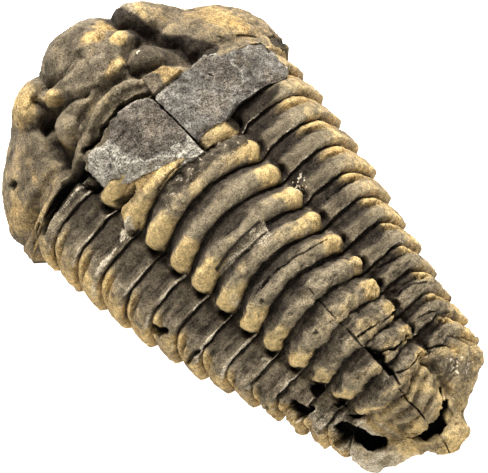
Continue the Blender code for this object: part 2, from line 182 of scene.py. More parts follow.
# Tail shield outline as (half width, distance behind the thorax)
TAIL_HALF = 9.1
TAIL_OUTLINE = (
    (0, 8.5), (1.2, 8.1), (2.1, 7.4), (2.4, 6.6), (3.5, 5.9),
    (5.6, 5.1), (7.4, 4.2), (8.2, 3.8), (8.8, 3.1), (9.1, 2.5),
)
TAIL_FRONT = 1.6
TAIL_FRONT_FROM = 5
TAIL_FRONT_SLANT = 0.5
TAIL_BACK_EDGE = 0.9
TAIL_FIELD_HIGH = 7.0
TAIL_FIELD_SLOPE = 0.6
TAIL_FLAT_HALF = 4
TAIL_SIDE_DROP = 0.1
TAIL_SIDE_POWER = 1.3
TAIL_RIDGE = (1.4, 0.45, 0.35)
TAIL_GROOVE = (2.3, 0.45, -0.3)
TAIL_EDGE_ROUND = 2.0
TAIL_LEAST_HIGH = 0.3
TAIL_AXIS_HALF = 4.4
TAIL_AXIS_TAPER = 0.32
TAIL_AXIS_HIGH = 10.4
TAIL_AXIS_SLOPE = 0.95
TAIL_AXIS_ARCH = 3.0
TAIL_AXIS_POWER = 2.6
TAIL_AXIS_ENDS = (4.9, 4.2)
TAIL_RING_PITCH = 1.07
TAIL_RING_FIRST = 0.8
TAIL_RING_RELIEF = 0.05
TAIL_KNOB = (0, 7.2, 2.4, 1.5, 4.4, 2.0)

# The underside is drawn in a little from the outline
FOOT_WIDTH = 0.95
FOOT_LENGTH = 0.97

# How finely the skin is divided: columns on each side of the middle, and rows
AXIS_COLUMNS = 80
LOBE_COLUMNS = 45
MARGIN_COLUMNS = 75
HEAD_ROWS = 190
SEGMENT_ROWS = 34
TAIL_ROWS = 110
COLUMN_SPREAD = 1.35
ROW_CROWD = 0.06
ROW_GAP = 0.02
FRONT_SEGMENTS = 7
SHARP_ANGLE = math.radians(55)

# Unevenness is built from repeatable noise, named as (size of its lumps, seed)
CELL_STEPS = (374761393, 668265263, 2147483629)
SEED_STEP = 40503
SEED_START = 17
BIT_MIXES = ((13, 1274126177), (15, 2246822519))
RAGGED_LAYERS = 3
RAGGED_FADE = 0.55
RAGGED_REACH = 1.4
BROAD_LUMP = 2.2
NARROW_LUMP = 0.7
WANDER_NOISE = (2.6, 3)
WRINKLE_NOISE = (0.5, 301)
RING_NOISE = (1.5, 331)
BAND_NOISE = (1.0, 91)
PALE_NOISE = (1.7, 95)
CRUST_NOISE = (0.8, 31)
CRUST_BLOTCH_NOISE = (0.7, 35)
CRUST_SPECK_NOISE = (0.4, 37)
FLAKE_NOISE = (0.9, 41)
FURROW_NOISE = (1.3, 65)
HOLE_EDGE_NOISE = (0.6, 51)
HOLE_FLOOR_NOISE = (0.8, 55)
CRACK_NOISE = (0.8, 61)
VEIN_NOISE = (0.5, 63)
CHALK_NOISE = (0.24, 71)
CHIP_NOISE = (0.9, 171)

# Hollows and cracks are placed as seen from a little behind: what lies above this level
# appears shifted forward by this share of its height
LEAN_BACK = 0.2867
LEVEL_AT = 8.0

# Broken hollows as (depth, raggedness, corners around the edge)
HOLES = (
    (2.5, 0.16, (
        (-7.5, -20.6), (-6.5, -20.8), (-6.2, -21.4), (-5.7, -22.5), (-5.3, -23.74), (-4.96, -24.74),
        (-4.33, -25.54), (-4.34, -25.99), (-4.96, -26.19), (-5.39, -26.65), (-6.1, -26.15), (-6.75, -25.2),
        (-6.95, -24.1), (-7.4, -23.6), (-8, -23.35), (-8.75, -22.75), (-8.8, -22.1), (-8, -21.4),
    )),
    (2.4, 0.1, (
        (-9.75, -16.2), (-9.6, -15.6), (-9, -15.5), (-8.5, -15.4), (-8.2, -16.2), (-7.9, -16.9),
        (-7.4, -17.4), (-7.5, -17.9), (-8.4, -17.8), (-9, -18), (-9.3, -18.05), (-9.5, -17.7),
        (-9.85, -17.25), (-9.6, -16.86),
    )),
    (1.1, 0.08, (
        (-5.99, -15.43), (-5.57, -16.19), (-4.93, -16.71), (-5.16, -17.1), (-6.84, -17.1), (-6.61, -16.28),
    )),
    (0.8, 0.08, ((-5.78, -18.7), (-4.63, -19.58), (-4.84, -20.02), (-5.77, -19.43))),
    (1.2, 0.06, (
        (-5.57, -20.87), (-5.26, -20.98), (-4.73, -21.51), (-4.09, -21.87), (-4.32, -22.31),
        (-4.94, -22.06), (-5.37, -21.56),
    )),
    (1.5, 0.05, (
        (0.62, -16.7), (0.6, -17.3), (0.45, -18.1), (0.5, -19), (0.35, -20.7), (0.85, -20.9), (1.3, -20.4),
        (1.2, -19.5), (1.75, -18.8), (1.65, -18.2), (1.1, -17.6), (1.15, -17), (0.85, -16.6),
    )),
    (1.7, 0.08, (
        (-2.86, -27.07), (-2.44, -27.51), (-1.61, -28), (-0.56, -27.97), (-0.14, -27.71), (0.28, -27.97),
        (1.33, -27.97), (2.06, -27.48), (2.38, -27.11), (2.91, -27.18), (3.12, -27.51), (2.59, -28.18),
        (1.97, -28.45), (1.55, -28.68), (1.02, -29.45), (0.28, -29.61), (-0.56, -29.24), (-1.61, -29.08),
        (-2.14, -28.68), (-2.45, -27.98),
    )),
    (1.2, 0.08, (
        (-13.9, 1.1), (-13.4, 1.35), (-13.2, 0.95), (-13.3, 0.5), (-12.85, 0.2), (-12.55, -0.35),
        (-12.85, -0.75), (-13.3, -0.7), (-13.9, -0.3), (-14.2, 0.5),
    )),
    (0.7, 0.05, ((-14.6, 24.2), (-13.5, 24.4), (-13.35, 23.3), (-14.45, 23.05))),
    (0.3, 0.1, ((-3.85, -5.24), (-3.4, -5), (-3.05, -5.23), (-3.3, -5.71), (-3.8, -5.72))),
    (0.8, 0.08, (
        (-14.2, -4.5), (-13.4, -4), (-12.4, -4), (-11.6, -4.35), (-11.9, -4.65), (-12.9, -4.6),
        (-13.7, -4.95),
    )),
    (0.5, 0.05, ((-11.5, -10.95), (-11.2, -10.77), (-11.15, -11.39), (-11.45, -11.7))),
    (0.6, 0.08, ((-11.5, -14.14), (-11, -13.64), (-11, -14.24), (-11.4, -14.72))),
    (0.35, 0.06, ((13.2, 19.06), (13.6, 18.8), (13.8, 18.2), (13.5, 18.17))),
    (0.35, 0.05, ((14.7, 19.07), (14.95, 18.84), (15.2, 18.19), (14.95, 18.37))),
    (0.9, 0.15, ((-5.9, 20.47), (-5, 20.35), (-3.4, 20.27), (-3, 20.02), (-4.2, 19.84), (-5.4, 19.87))),
    (0.3, 0.08, ((-2.1, -11.63), (-1.5, -11.53), (-1.45, -12.03), (-2, -12.21))),
    (0.35, 0.08, ((3.7, -11.22), (4.2, -11.21), (4.3, -11.63), (3.8, -11.67))),
    (1.5, 0.05, (
        (-14.75, 17.15), (-14.11, 17.95), (-13.3, 18.3), (-12.41, 18.5), (-11.32, 18.75), (-10.23, 18.95),
        (-9.17, 19.1), (-8.06, 19.2), (-7.06, 19.25), (-6.86, 17.97), (-6.78, 16.82), (-7.32, 17.15),
        (-7.75, 17.77), (-8.66, 18.16), (-9.74, 18.16), (-11.05, 18.07), (-12.46, 17.8), (-13.54, 17.5),
    )),
    (0.8, 0.05, ((-8.11, 16.91), (-6.99, 16.92), (-6.59, 15.85), (-7.13, 15.55), (-8.09, 15.97))),
    (0.7, 0.05, (
        (-7.38, 13.96), (-6.52, 13.71), (-5.22, 13.33), (-4.54, 12.89), (-5.28, 12.56), (-6.46, 12.62),
        (-7.3, 13.22),
    )),
    (0.5, 0.08, ((17.35, 15.4), (18.3, 14.9), (18.6, 13.54), (18.1, 12.4), (17.48, 12.8), (17.05, 14.1))),
    (0.35, 0.08, ((-7.2, 10.22), (-6.8, 10.53), (-6.7, 9.96), (-7.1, 9.71))),
)

# Worn furrows as (half width, depth, points of the line)
FURROWS = (
    (0.5, 0.95, ((-7, 24.9), (-4.95, 24.9), (-3.3, 23.95), (-1.4, 22.5))),
    (0.5, 0.55, ((-1.4, 22.5), (0.3, 21.9), (2.6, 21.4), (4.2, 21.2))),
    (0.4, 0.5, ((-5.4, 27.1), (-3.9, 28), (-1.8, 26.3), (-0.3, 26), (1, 26.4))),
    (0.6, 0.9, ((-5.6, 27), (-5.6, 25.5), (-7, 24.8), (-7.45, 23), (-7.3, 20.5))),
    (0.45, 0.9, ((4.3, 19.5), (4.1, 21), (4.5, 22.2), (5.45, 23.2), (7, 23.7))),
    (0.35, 0.4, ((4, 26.3), (5.4, 25.8), (6.6, 26.2))),
    (0.35, 0.35, ((0.2, 23), (1, 24.8), (1.4, 26.6))),
    (0.4, 0.45, (
        (-6.7, 20.4), (-4.2, 19.95), (-2.65, 20.5), (-0.6, 21.4), (1.6, 21.25), (4.2, 20.05), (6, 19.3),
    )),
    (0.33, 0.55, ((-4, -22.2), (-3.1, -23), (-1.6, -23.5), (0.5, -23.5), (2.55, -23.1), (4, -22.6))),
    (0.33, 0.5, ((-3.5, -23.9), (-2.1, -24.5), (0, -24.95), (1.5, -24.4), (3.4, -23.7))),
    (0.3, 0.45, ((-2.7, -25.2), (-1.6, -25.8), (0.3, -26.1), (1.5, -25.8), (2.8, -25.2), (3.6, -24.4))),
    (0.4, 0.7, ((4.1, -22.4), (4.4, -23), (4.25, -24.1), (3.7, -25.5), (3.4, -26.3))),
    (0.35, 0.35, ((-4.2, -22.2), (-3.95, -24.1), (-3.2, -26.1))),
    (0.4, 0.35, ((9.3, -25.6), (7, -26.9), (4.5, -28))),
    (0.5, 0.45, ((-18.4, 20.2), (-16.4, 19), (-13, 18.9), (-9, 19.3))),
    (0.4, 0.8, ((-17.7, 17), (-16.9, 18), (-15.6, 18.9), (-14.2, 19.3))),
)

# Raised knobs and crusts as (across, along, half width, half length, turn, height)
KNOBS = (
    (-5.1, 22.2, 1.9, 2.2, 0, 0.55), (6.1, 20.9, 1.6, 1.8, 0, 0.8), (-4.3, 25.9, 1.3, 1.1, 0, 0.4),
    (5.2, 25, 1.3, 1, 0, 0.3), (3.4, 26.8, 1.6, 0.9, 0, 0.25), (-8.7, 9.75, 0.7, 0.35, 0, 0.5),
    (-7.8, 9.9, 0.5, 0.3, 0, 0.45), (-7.5, 9.3, 0.35, 0.3, 0, 0.35), (-4.7, 19, 0.7, 0.45, 0, 0.3),
    (-6.2, 18.6, 0.5, 0.7, 0, 0.3), (-10.3, 17, 3.2, 0.4, 0, 0.35), (3.9, -15.2, 1.2, 0.9, 0, 0.2),
    (3, -18.5, 1.3, 0.8, 0, 0.3), (2.9, -21, 1.3, 0.8, 0, 0.3),
)

# Cracks as (half width, depth, points of the line)
CRACKS = (
    (0.27, 1.3, ((3.5, 18.6), (3.5, 17.5), (3.47, 14), (3.47, 10.9))),
    (0.13, 0.6, ((-17.52, 16.1), (-16.77, 17.15), (-15.81, 17.86), (-14.77, 18.24))),
    (0.06, 0.3, ((0.75, -14.25), (0.6, -15.86), (0.7, -17.42))),
    (0.12, 0.6, ((0.95, -20.67), (0.7, -21.3), (0.55, -22.03))),
    (0.12, 0.5, ((1.1, -17.38), (1.5, -18.11), (2.35, -18.5), (2.9, -19.16), (4.1, -19.29), (4.9, -19.32))),
    (0.09, 0.4, ((1.3, -21), (2.6, -21.66), (4.9, -21.65), (6.2, -22.39), (7.7, -23.52))),
    (0.09, 0.4, ((1, -15.28), (2.8, -15.69), (4.4, -16.21), (5.6, -16.5))),
    (0.07, 0.35, ((0.2, -22.4), (-0.05, -24.16), (0.05, -25.57), (-0.1, -26.83))),
    (0.08, 0.4, ((-0.1, -29.06), (-0.35, -30.12), (-0.75, -31.78))),
    (0.07, 0.3, ((-4.7, -4.62), (-3.1, -4.36), (-0.5, -4.12), (2, -4.43), (4.6, -5.22), (5.9, -5.65))),
    (0.05, 0.25, ((0.95, -7.4), (0.85, -9.48), (0.7, -11.42), (0.75, -14.25))),
    (0.06, 0.3, ((8.9, -2.6), (11, -2.94), (12.7, -3.31))),
    (0.09, 0.5, ((2.1, -27.32), (2.8, -26.83), (3.5, -26.05))),
    (0.06, 0.25, ((7.5, -11.75), (9.2, -12.35), (10.6, -12.94))),
    (0.06, 0.25, ((6.8, -15.17), (8.8, -15.73), (10.2, -16.66))),
    (0.06, 0.25, ((6.3, -18.53), (8.2, -19.16), (9.6, -20.8))),
    (0.08, 0.3, ((14.98, 17.51), (15.8, 16.79), (16.61, 15.69))),
    (0.2, 1, ((-15.2, 17.06), (-13.5, 18.28), (-11.3, 18.85), (-9.1, 18.99), (-7, 19.54))),
    (0.45, 1.2, ((-9.6, 18.97), (-8.2, 18.93), (-7, 19.35))),
    (0.24, 1.3, (
        (-5.69, 20.2), (-4.37, 19.8), (-3.73, 19.78), (-2.68, 20.28), (-0.56, 20.49), (0.5, 20.64),
        (2.08, 20.15), (3.66, 19.33),
    )),
    (0.15, 0.8, ((-7.4, 12.75), (-6.05, 13.13), (-4.5, 13.16))),
    (0.07, 0.3, ((-4.3, 10.54), (-2.6, 11.2), (-0.6, 11.46), (2.6, 11.03), (5.7, 9.82))),
)


def curve(points, at):
    """Smooth curve through (place, value) points, level beyond both ends."""
    places = np.array([place for place, _ in points], float)
    values = np.array([value for _, value in points], float)
    slopes = np.gradient(values, places)
    cell = np.clip(np.searchsorted(places, at) - 1, 0, len(places) - 2)
    width = places[cell + 1] - places[cell]
    t = np.clip((at - places[cell]) / width, 0, 1)
    start = (1 + 2 * t) * (1 - t) ** 2 * values[cell] + t * (1 - t) ** 2 * width * slopes[cell]
    end = t * t * (3 - 2 * t) * values[cell + 1] - t * t * (1 - t) * width * slopes[cell + 1]
    return start + end


def ease(low, high, at):
    """0 at low and 1 at high, with a smooth change between."""
    t = np.clip((at - low) / (high - low), 0, 1)
    return t * t * (3 - 2 * t)


def hump(centre, width, at):
    """A bell shape that is 1 at its centre."""
    return np.exp(-(((at - centre) / width) ** 2))


def fold(at, line):
    """Height of a long ridge or furrow at a distance from the line that it follows."""
    centre, width, height = line
    return height * hump(centre, width, at)


def merge_highest(first, second, blend):
    """The higher of two surfaces, with the corner between them rounded over blend."""
    near = np.clip(0.5 + 0.5 * (second - first) / blend, 0, 1)
    return first * (1 - near) + second * near + blend * near * (1 - near)


def lump(x, y, shape):
    """Height of a rounded lobe with its top at (across, forward)."""
    across, forward, half_width, half_length, top, fall = shape
    return top - fall * (((x - across) / half_width) ** 2 + ((y - forward) / half_length) ** 2)


def lattice(cell, seed):
    """A repeatable value from 0 to 1 for each cell of space."""
    mixed = np.full(cell.shape[:-1], seed * SEED_STEP + SEED_START, np.uint32)
    for axis, step in enumerate(CELL_STEPS):
        mixed = mixed + cell[..., axis].astype(np.uint32) * np.uint32(step)
    for shift, factor in BIT_MIXES:
        mixed = (mixed ^ (mixed >> np.uint32(shift))) * np.uint32(factor)
    return (mixed ^ (mixed >> np.uint32(16))).astype(float) / 2**32


def clumps(points, size, seed):
    """Smooth lumps of about the given size, from -1 to 1."""
    scaled = points / size
    cell = np.floor(scaled).astype(np.int64)
    part = scaled - cell
    part = part * part * (3 - 2 * part)
    total = 0
    for corner in itertools.product((0, 1), repeat=3):
        weight = np.prod(np.where(corner, part, 1 - part), axis=-1)
        total = total + weight * lattice(cell + np.array(corner), seed)
    return 2 * total - 1


def ragged(points, size, seed):
    """Lumps with smaller lumps on them, from about -1 to 1."""
    total = 0
    for layer in range(RAGGED_LAYERS):
        total = total + clumps(points, size / 2**layer, seed + layer) * RAGGED_FADE**layer
    return total / RAGGED_REACH


def uneven(points, depths, seeds):
    """Broad and narrow lumps together, each with its own depth and seed."""
    broad = depths[0] * ragged(points, BROAD_LUMP, seeds[0])
    return broad + depths[1] * ragged(points, NARROW_LUMP, seeds[1])


def spread(side):
    """How far out a column of the head or tail lies, as a share of the half width."""
    return np.sin(QUARTER_TURN * side**COLUMN_SPREAD)


def crowd(share):
    """Rows from 0 to 1 that crowd together near the outer edge at 1."""
    return 0.5 * share + 0.5 * np.sin(QUARTER_TURN * share)


def skin_columns():
    axis = np.linspace(0, FURROW_AT, AXIS_COLUMNS + 1)
    lobe = np.linspace(FURROW_AT, FULCRUM_AT, LOBE_COLUMNS + 1)[1:]
    margin = np.linspace(FULCRUM_AT, 1, MARGIN_COLUMNS + 1)[1:]
    half = np.concatenate([axis, lobe, margin])
    return np.concatenate([-half[:0:-1], half])[None, :]


def segment_y(place):
    """Where a place counted in segments lies along the body."""
    return FIRST_BACK - FIRST_PITCH * place + PITCH_LOSS * place**3


def neck_line(across):
    """The back edge of the head, ahead of the neck."""
    side = np.abs(across)
    bow = NECK_BOW * np.clip(side / NECK_BOW_HALF, 0, 1) ** 2
    return -bow - GENAL_BACK * ease(*GENAL_SPAN, side)


def thorax_section(place, phase, side):
    """Distance out and height of the smooth thorax, before its relief."""
    axis = np.clip(side / FURROW_AT, 0, 1)
    inner = np.clip((side - FURROW_AT) / (FULCRUM_AT - FURROW_AT), 0, 1)
    bend = QUARTER_TURN * np.clip((side - FULCRUM_AT) / (1 - FULCRUM_AT), 0, 1)
    swell = np.sin(math.pi * phase)
    fullness = RING_FULLNESS[0] + RING_FULLNESS[1] * swell
    furrow_half = curve(AXIS_HALF, place)
    ring_half = furrow_half * (RING_WIDTH[0] + RING_WIDTH[1] * swell)
    fulcrum_half = curve(FULCRUM_HALF, place)
    tip_half = curve(TIP_HALF, place) - TIP_STEP * (1 - ease(*TIP_STEP_SPAN, phase))
    tip_half = tip_half - TIP_NOTCH * ease(*TIP_NOTCH_SPAN, phase)
    furrow = curve(FURROW_HIGH, place)
    fulcrum = curve(FULCRUM_HIGH, place)
    x = ring_half * (fullness * np.sin(QUARTER_TURN * axis) + (1 - fullness) * axis)
    x = x + (furrow_half - ring_half) * ease(0, RING_FOOT, inner)
    x = x + (fulcrum_half - furrow_half) * inner + (tip_half - fulcrum_half) * np.sin(bend)
    z = furrow + (curve(CREST_HIGH, place) - furrow) * np.cos(QUARTER_TURN * axis)
    z = z + (fulcrum - furrow) * inner - (fulcrum - TIP_HIGH) * (1 - np.cos(bend))
    return x, z


def level_share(number, columns):
    """Where the ring at the edge of the rock slab is worn level with it."""
    return (number == LEVEL_RING) * ease(*LEVEL_SPAN, columns)


def by_hand(columns, pair):
    """The first value on the right hand and the second on the left."""
    return np.where(columns > 0, *pair)


def ring_phase(number, phase, columns):
    """Phase on the rings, stretched so that the sunken front band is widest in the middle."""
    share = np.clip(np.abs(columns) / BAND_HALF, 0, 1)
    thin = 1 - BAND_THINNED * hump(*BAND_THIN_AT, columns)
    front = BAND_LEAST + BAND_MOST * (1 - share**2) * thin
    across, along = np.broadcast_arrays(columns * BAND_STRETCH[0], number * BAND_STRETCH[1])
    flat = np.stack([across, along, 0 * across], axis=2)
    front = front * (1 + BAND_UNEVEN * clumps(flat, *BAND_NOISE))
    slow = phase / front * BAND_PHASE
    quick = BAND_PHASE + (phase - front) / (1 - front) * (1 - BAND_PHASE)
    return np.where(phase < front, slow, quick)


def segment_relief(number, phase, columns):
    """How far the surface stands proud of the smooth thorax."""
    side = np.abs(columns)
    on_axis = 1 - ease(*AXIS_FADE, side)
    on_margin = ease(*MARGIN_FADE, side)
    inner = by_hand(columns, (curve(RIGHT_LOBE_RELIEF, phase), curve(LEFT_LOBE_RELIEF, phase)))
    at_tip = ease(*TIP_FROM, side)
    margin = curve(MARGIN_RELIEF, phase) * (1 - at_tip) + curve(TIP_RELIEF, phase) * at_tip
    lobe = inner * (1 - on_margin) + margin * on_margin
    flatter = 1 - RING_FLATTER * ease(*HIND_RINGS, number + phase)
    ring = curve(RING_RELIEF, ring_phase(number, phase, columns)) * flatter
    level = level_share(number, columns)
    ring = ring * (1 - level) + np.maximum(ring, LEVEL_SUNK) * level
    return ring * on_axis + lobe * (1 - on_axis)


def thorax(columns):
    """Rows of points of the thorax from the neck to the tail, with segment number and phase."""
    step = np.linspace(0, 1, SEGMENT_ROWS, endpoint=False)
    step = step - ROW_CROWD * np.sin(4 * QUARTER_TURN * step)
    number = np.repeat(np.arange(SEGMENTS), SEGMENT_ROWS)[:, None]
    phase = np.tile(step, SEGMENTS)[:, None]
    seen = (number + phase)[:, 0] > FIRST_PLACE
    number, phase = number[seen], phase[seen]
    place = number + phase
    side = np.abs(columns)
    hand = np.sign(columns)
    x, z = thorax_section(place, phase, side)
    x = x * hand
    across_x = np.gradient(x, columns[0], axis=1)
    across_z = np.gradient(z, columns[0], axis=1)
    relief = segment_relief(number, phase, columns) / np.hypot(across_x, across_z)
    x = x - across_z * relief
    z = z + across_x * relief
    pit = FURROW_DEEP + PIT_DEEP * hump(*PIT_PHASE, phase)
    z = z - pit * hump(*PIT_PLACE, side)

    crest = np.cos(QUARTER_TURN * np.clip(side / FURROW_AT, 0, 1))
    outer = np.clip((side - FULCRUM_AT) / (1 - FULCRUM_AT), 0, 1)
    sweep = curve(TIP_BACK, place) + RIGHT_TIP_BACK * ease(LEAN_FROM, SEGMENTS, place) * hand
    y = segment_y(place + curve(LIP_SLIDE, phase))
    y = y + curve(CREST_FORWARD, place) * crest - sweep * outer**TIP_SWEEP_POWER
    y = y - math.tan(THORAX_SKEW) * x * ease(SEGMENTS, LEAN_FROM, place)
    ahead = RIGHT_LOBES_AHEAD * hump(*RIGHT_LOBES_AT, place)
    y = y + ahead * ease(*RIGHT_LOBES_FROM, columns) * ease(*RIGHT_LOBES_TO, side)
    row = np.arange(len(place))[:, None]
    head_back = NECK_Y + neck_line(x) - math.sin(HEAD_TURN) * x
    y = np.minimum(y, head_back - ROW_GAP * (row + 1))
    points = np.stack([x + TAIL_SHIFT * ease(SHIFT_FROM, SEGMENTS, place), y, z], axis=2)
    return points, number, phase


def front_dent(across):
    """The hollow in the right front edge of the head."""
    return FRONT_DENT_DEEP * hump(FRONT_DENT_AT, FRONT_DENT_WIDE, across)


def cheek_height(side, y, reach, border):
    """Height of the cheeks, with the furrows beside the glabella and along the back."""
    dome = RIM_HIGH + CHEEK_HIGH * (1 - reach**CHEEK_FALL) ** CHEEK_ROUND
    beside = side - curve(GLABELLA_HALF, y)
    dome = dome + fold(beside, SIDE_FURROW) * ease(*SIDE_FURROW_ENDS, y)
    dome = merge_highest(dome, lump(side, y, EYE_LOBE), SOFT_BLEND)
    folds = fold(border, BORDER_RIDGE) + fold(border, BORDER_FURROW)
    return dome + folds * ease(*BORDER_STARTS, side)


def glabella_height(side, y):
    """Height of the raised middle of the head, with its lobes and the ring at the neck."""
    hood = curve(GLABELLA_CREST, y) - GLABELLA_FALL * (side / curve(GLABELLA_HALF, y)) ** 3
    hood = merge_highest(hood, lump(side, y, BACK_LOBE), BLEND)
    hood = merge_highest(hood, lump(side, y, MIDDLE_LOBE), BLEND)
    arch = NECK_RING_AT - NECK_RING_BOW * (side / NECK_RING_BOW_HALF) ** 2
    hood = hood + fold(y - arch, NECK_FURROW) * ease(*NECK_FURROW_ENDS, side)
    ring = NECK_RING_HIGH - NECK_RING_DROP * (side / NECK_RING_HALF) ** NECK_RING_POWER
    ring = ring - NECK_RING_FALL * ((y - arch) / NECK_RING_LONG) ** 2
    return merge_highest(hood, ring, TIGHT_BLEND)


def head_height(x, y):
    """Height of the head shield at a place across and forward of the neck."""
    forward = np.clip(y - HEAD_CENTRE + front_dent(x) * ease(*FRONT_DENT_SPAN, y), 0, None)
    reach = np.clip(np.hypot(x / HEAD_HALF, forward / (HEAD_LENGTH - HEAD_CENTRE)), 0, 1)
    side = np.abs(x - GLABELLA_SHIFT)
    cheeks = cheek_height(side, y, reach, y - neck_line(x))
    height = merge_highest(cheeks, glabella_height(side, y), BLEND)
    wall = RIM_HIGH + (height - RIM_HIGH) * np.sqrt(1 - reach**WALL_POWER)
    return np.minimum(height, wall)


def head(columns):
    """Rows of points of the head shield, from its front edge to the neck."""
    side = np.abs(columns)
    across = HEAD_SIDE * spread(side) * np.sign(columns)
    back = neck_line(across)
    bulge = np.sqrt(1 - (across / HEAD_HALF) ** 2)
    front = HEAD_CENTRE + (HEAD_LENGTH - HEAD_CENTRE) * bulge - front_dent(across)
    share = crowd(np.linspace(1, 0, HEAD_ROWS))[:, None]
    y = back + (front - back) * share
    x = across + 0 * y
    margin = ease(*HEAD_EDGE, side)
    z = head_height(x, y) * (1 - margin) + RIM_HIGH * margin
    turned_x = x * math.cos(HEAD_TURN) + y * math.sin(HEAD_TURN)
    turned_y = y * math.cos(HEAD_TURN) - x * math.sin(HEAD_TURN)
    return np.stack([turned_x, turned_y + NECK_Y, z], axis=2)


def tail_height(x, y, edge):
    """Height of the tail shield: y is measured back from the thorax, edge in from the outline."""
    side = np.abs(x)
    beyond = np.clip(side - TAIL_FLAT_HALF, 0, None)
    field = TAIL_FIELD_HIGH - TAIL_FIELD_SLOPE * y - TAIL_SIDE_DROP * beyond**TAIL_SIDE_POWER
    field = field + fold(edge, TAIL_RIDGE) + fold(edge, TAIL_GROOVE)
    rings = TAIL_RING_RELIEF * np.cos(4 * QUARTER_TURN * (y - TAIL_RING_FIRST) / TAIL_RING_PITCH)
    arch = TAIL_AXIS_ARCH * (side / (TAIL_AXIS_HALF - TAIL_AXIS_TAPER * y)) ** TAIL_AXIS_POWER
    axis = TAIL_AXIS_HIGH - TAIL_AXIS_SLOPE * y + rings - arch
    end = ease(*TAIL_AXIS_ENDS, y)
    field = merge_highest(field, axis * end + field * (1 - end), BLEND)
    field = merge_highest(field, lump(x, y, TAIL_KNOB), BLEND)
    inward = np.clip(edge / TAIL_EDGE_ROUND, 0, 1)
    return RIM_HIGH + np.clip(field - RIM_HIGH, TAIL_LEAST_HIGH, None) * np.sqrt(1 - (1 - inward) ** 2)


def tail(columns):
    """Rows of points of the tail shield, from the thorax to its end."""
    across = TAIL_HALF * spread(np.abs(columns))
    hand = np.sign(columns)
    outer = (TAIL_FRONT + TAIL_FRONT_SLANT * hand) * ease(TAIL_FRONT_FROM, TAIL_HALF, across)
    front = TAIL_FRONT * (1 - ease(0, TAIL_AXIS_HALF, across)) + outer
    back = curve(TAIL_OUTLINE, across)
    share = crowd(np.linspace(0, 1, TAIL_ROWS))[:, None]
    y = front + (back - front) * share
    x = across * hand + 0 * y
    edge = np.minimum(TAIL_HALF - np.abs(x), (back - y) * TAIL_BACK_EDGE)
    return np.stack([x + TAIL_SHIFT, segment_y(SEGMENTS) - y, tail_height(x, y, edge)], axis=2)


def outward_of(points):
    """Unit directions away from the stone at each point of the skin."""
    outward = np.cross(np.gradient(points, axis=0), np.gradient(points, axis=1))
    return outward / np.maximum(np.linalg.norm(outward, axis=2, keepdims=True), 1e-9)


def reach_from(points, x, y, half_width, half_length, turn):
    """Distance from a place on the plan, as a share of an oval's half size."""
    dx = points[..., 0] - x
    dy = points[..., 1] - y
    angle = math.radians(turn)
    wide = (dx * math.cos(angle) + dy * math.sin(angle)) / half_width
    long = (dy * math.cos(angle) - dx * math.sin(angle)) / half_length
    return np.hypot(wide, long)


def blur(field, radius):
    """Average over a square of rows and columns."""
    for axis in (0, 1):
        width = [(0, 0)] * field.ndim
        width[axis] = (radius + 1, radius)
        total = np.cumsum(np.pad(field, width, mode="edge"), axis=axis)
        length = field.shape[axis]
        high = np.take(total, np.arange(2 * radius + 1, 2 * radius + 1 + length), axis=axis)
        low = np.take(total, np.arange(0, length), axis=axis)
        field = (high - low) / (2 * radius + 1)
    return field


def cavity_of(points, outward, radius):
    """How far the surface lies below its surroundings, in millimetres."""
    return np.sum((blur(points, radius) - points) * outward, axis=2)


def line_distance(points, line):
    """Distance on the plan from a line of points."""
    nearest = None
    for (x0, y0), (x1, y1) in zip(line, line[1:]):
        along = np.array([x1 - x0, y1 - y0])
        dx = points[..., 0] - x0
        dy = points[..., 1] - y0
        share = np.clip((dx * along[0] + dy * along[1]) / (along @ along), 0, 1)
        far = np.hypot(dx - share * along[0], dy - share * along[1])
        nearest = far if nearest is None else np.minimum(nearest, far)
    return nearest


def inside(points, corners):
    """Distance in from the edge of a many-sided shape on the plan, negative outside."""
    x, y = points[..., 0], points[..., 1]
    within = np.zeros(x.shape, bool)
    for (x0, y0), (x1, y1) in zip(corners, corners[1:] + corners[:1]):
        if y0 != y1:
            crossing = x0 + (y - y0) * (x1 - x0) / (y1 - y0)
            within ^= ((y0 > y) != (y1 > y)) & (x < crossing)
    far = line_distance(points, corners + corners[:1])
    return np.where(within, far, -far)


# Grey rock slabs over the neck, as front and back edges of (across, along) points
SLAB_TOP = ((0, 17.2), (3.5, 16.5), (7, 13.9), (9.5, 12.3), (12.5, 11.1), (15.5, 8.2), (17, 5.6))
SLAB_COVER = 0.9
SLAB_COVER_IN = 0.5
LEFT_PLATE = (
    (-2.6, 18.5), (-3.1, 16.2), (-2.5, 15.6), (-2.9, 14.2), (-2.0, 13.0), (-1.6, 12.1),
    (-0.5, 11.3), (0.9, 10.3), (1.6, 10.6), (2.8, 10.2), (3.8, 10.6), (3.8, 18.5),
)
LEFT_SLAB = {
    "front": (
        (-6.6, 16.65), (-5.65, 17.4), (-4.35, 17.1), (-3.9, 16.45), (-2.65, 16.5),
        (-1.4, 17.5), (0.0, 17.7), (1.55, 17.5), (3.0, 16.75), (3.4, 16.15),
    ),
    "back": (
        (-6.7, 14.2), (-5.7, 13.2), (-4.55, 12.2), (-3.5, 11.5), (-2.43, 10.9),
        (-1.0, 10.1), (0.36, 9.1), (1.7, 8.55), (2.9, 8.25), (3.3, 8.3),
    ),
    "plate": LEFT_PLATE,
    "plate_high": 0.1,
    "plate_pale": 0.0,
    "rest_pale": 0.72,
    "dark_brown": (0.85, LEFT_PLATE),
    "fringe": {"front": (0.5, 0.3), "back": (1.5, 0.85), "left": (1.0, 0.6), "right": (0.12, 0.15)},
    "cracks": (),
    "veins": (),
    "cells": (150, 110),
    "lean": {"front": -0.1, "back": 0.25, "left": 0.15, "right": 0.0},
    "end_noise": 0.25,
    "thick": 2.0,
    "seed": 100,
}
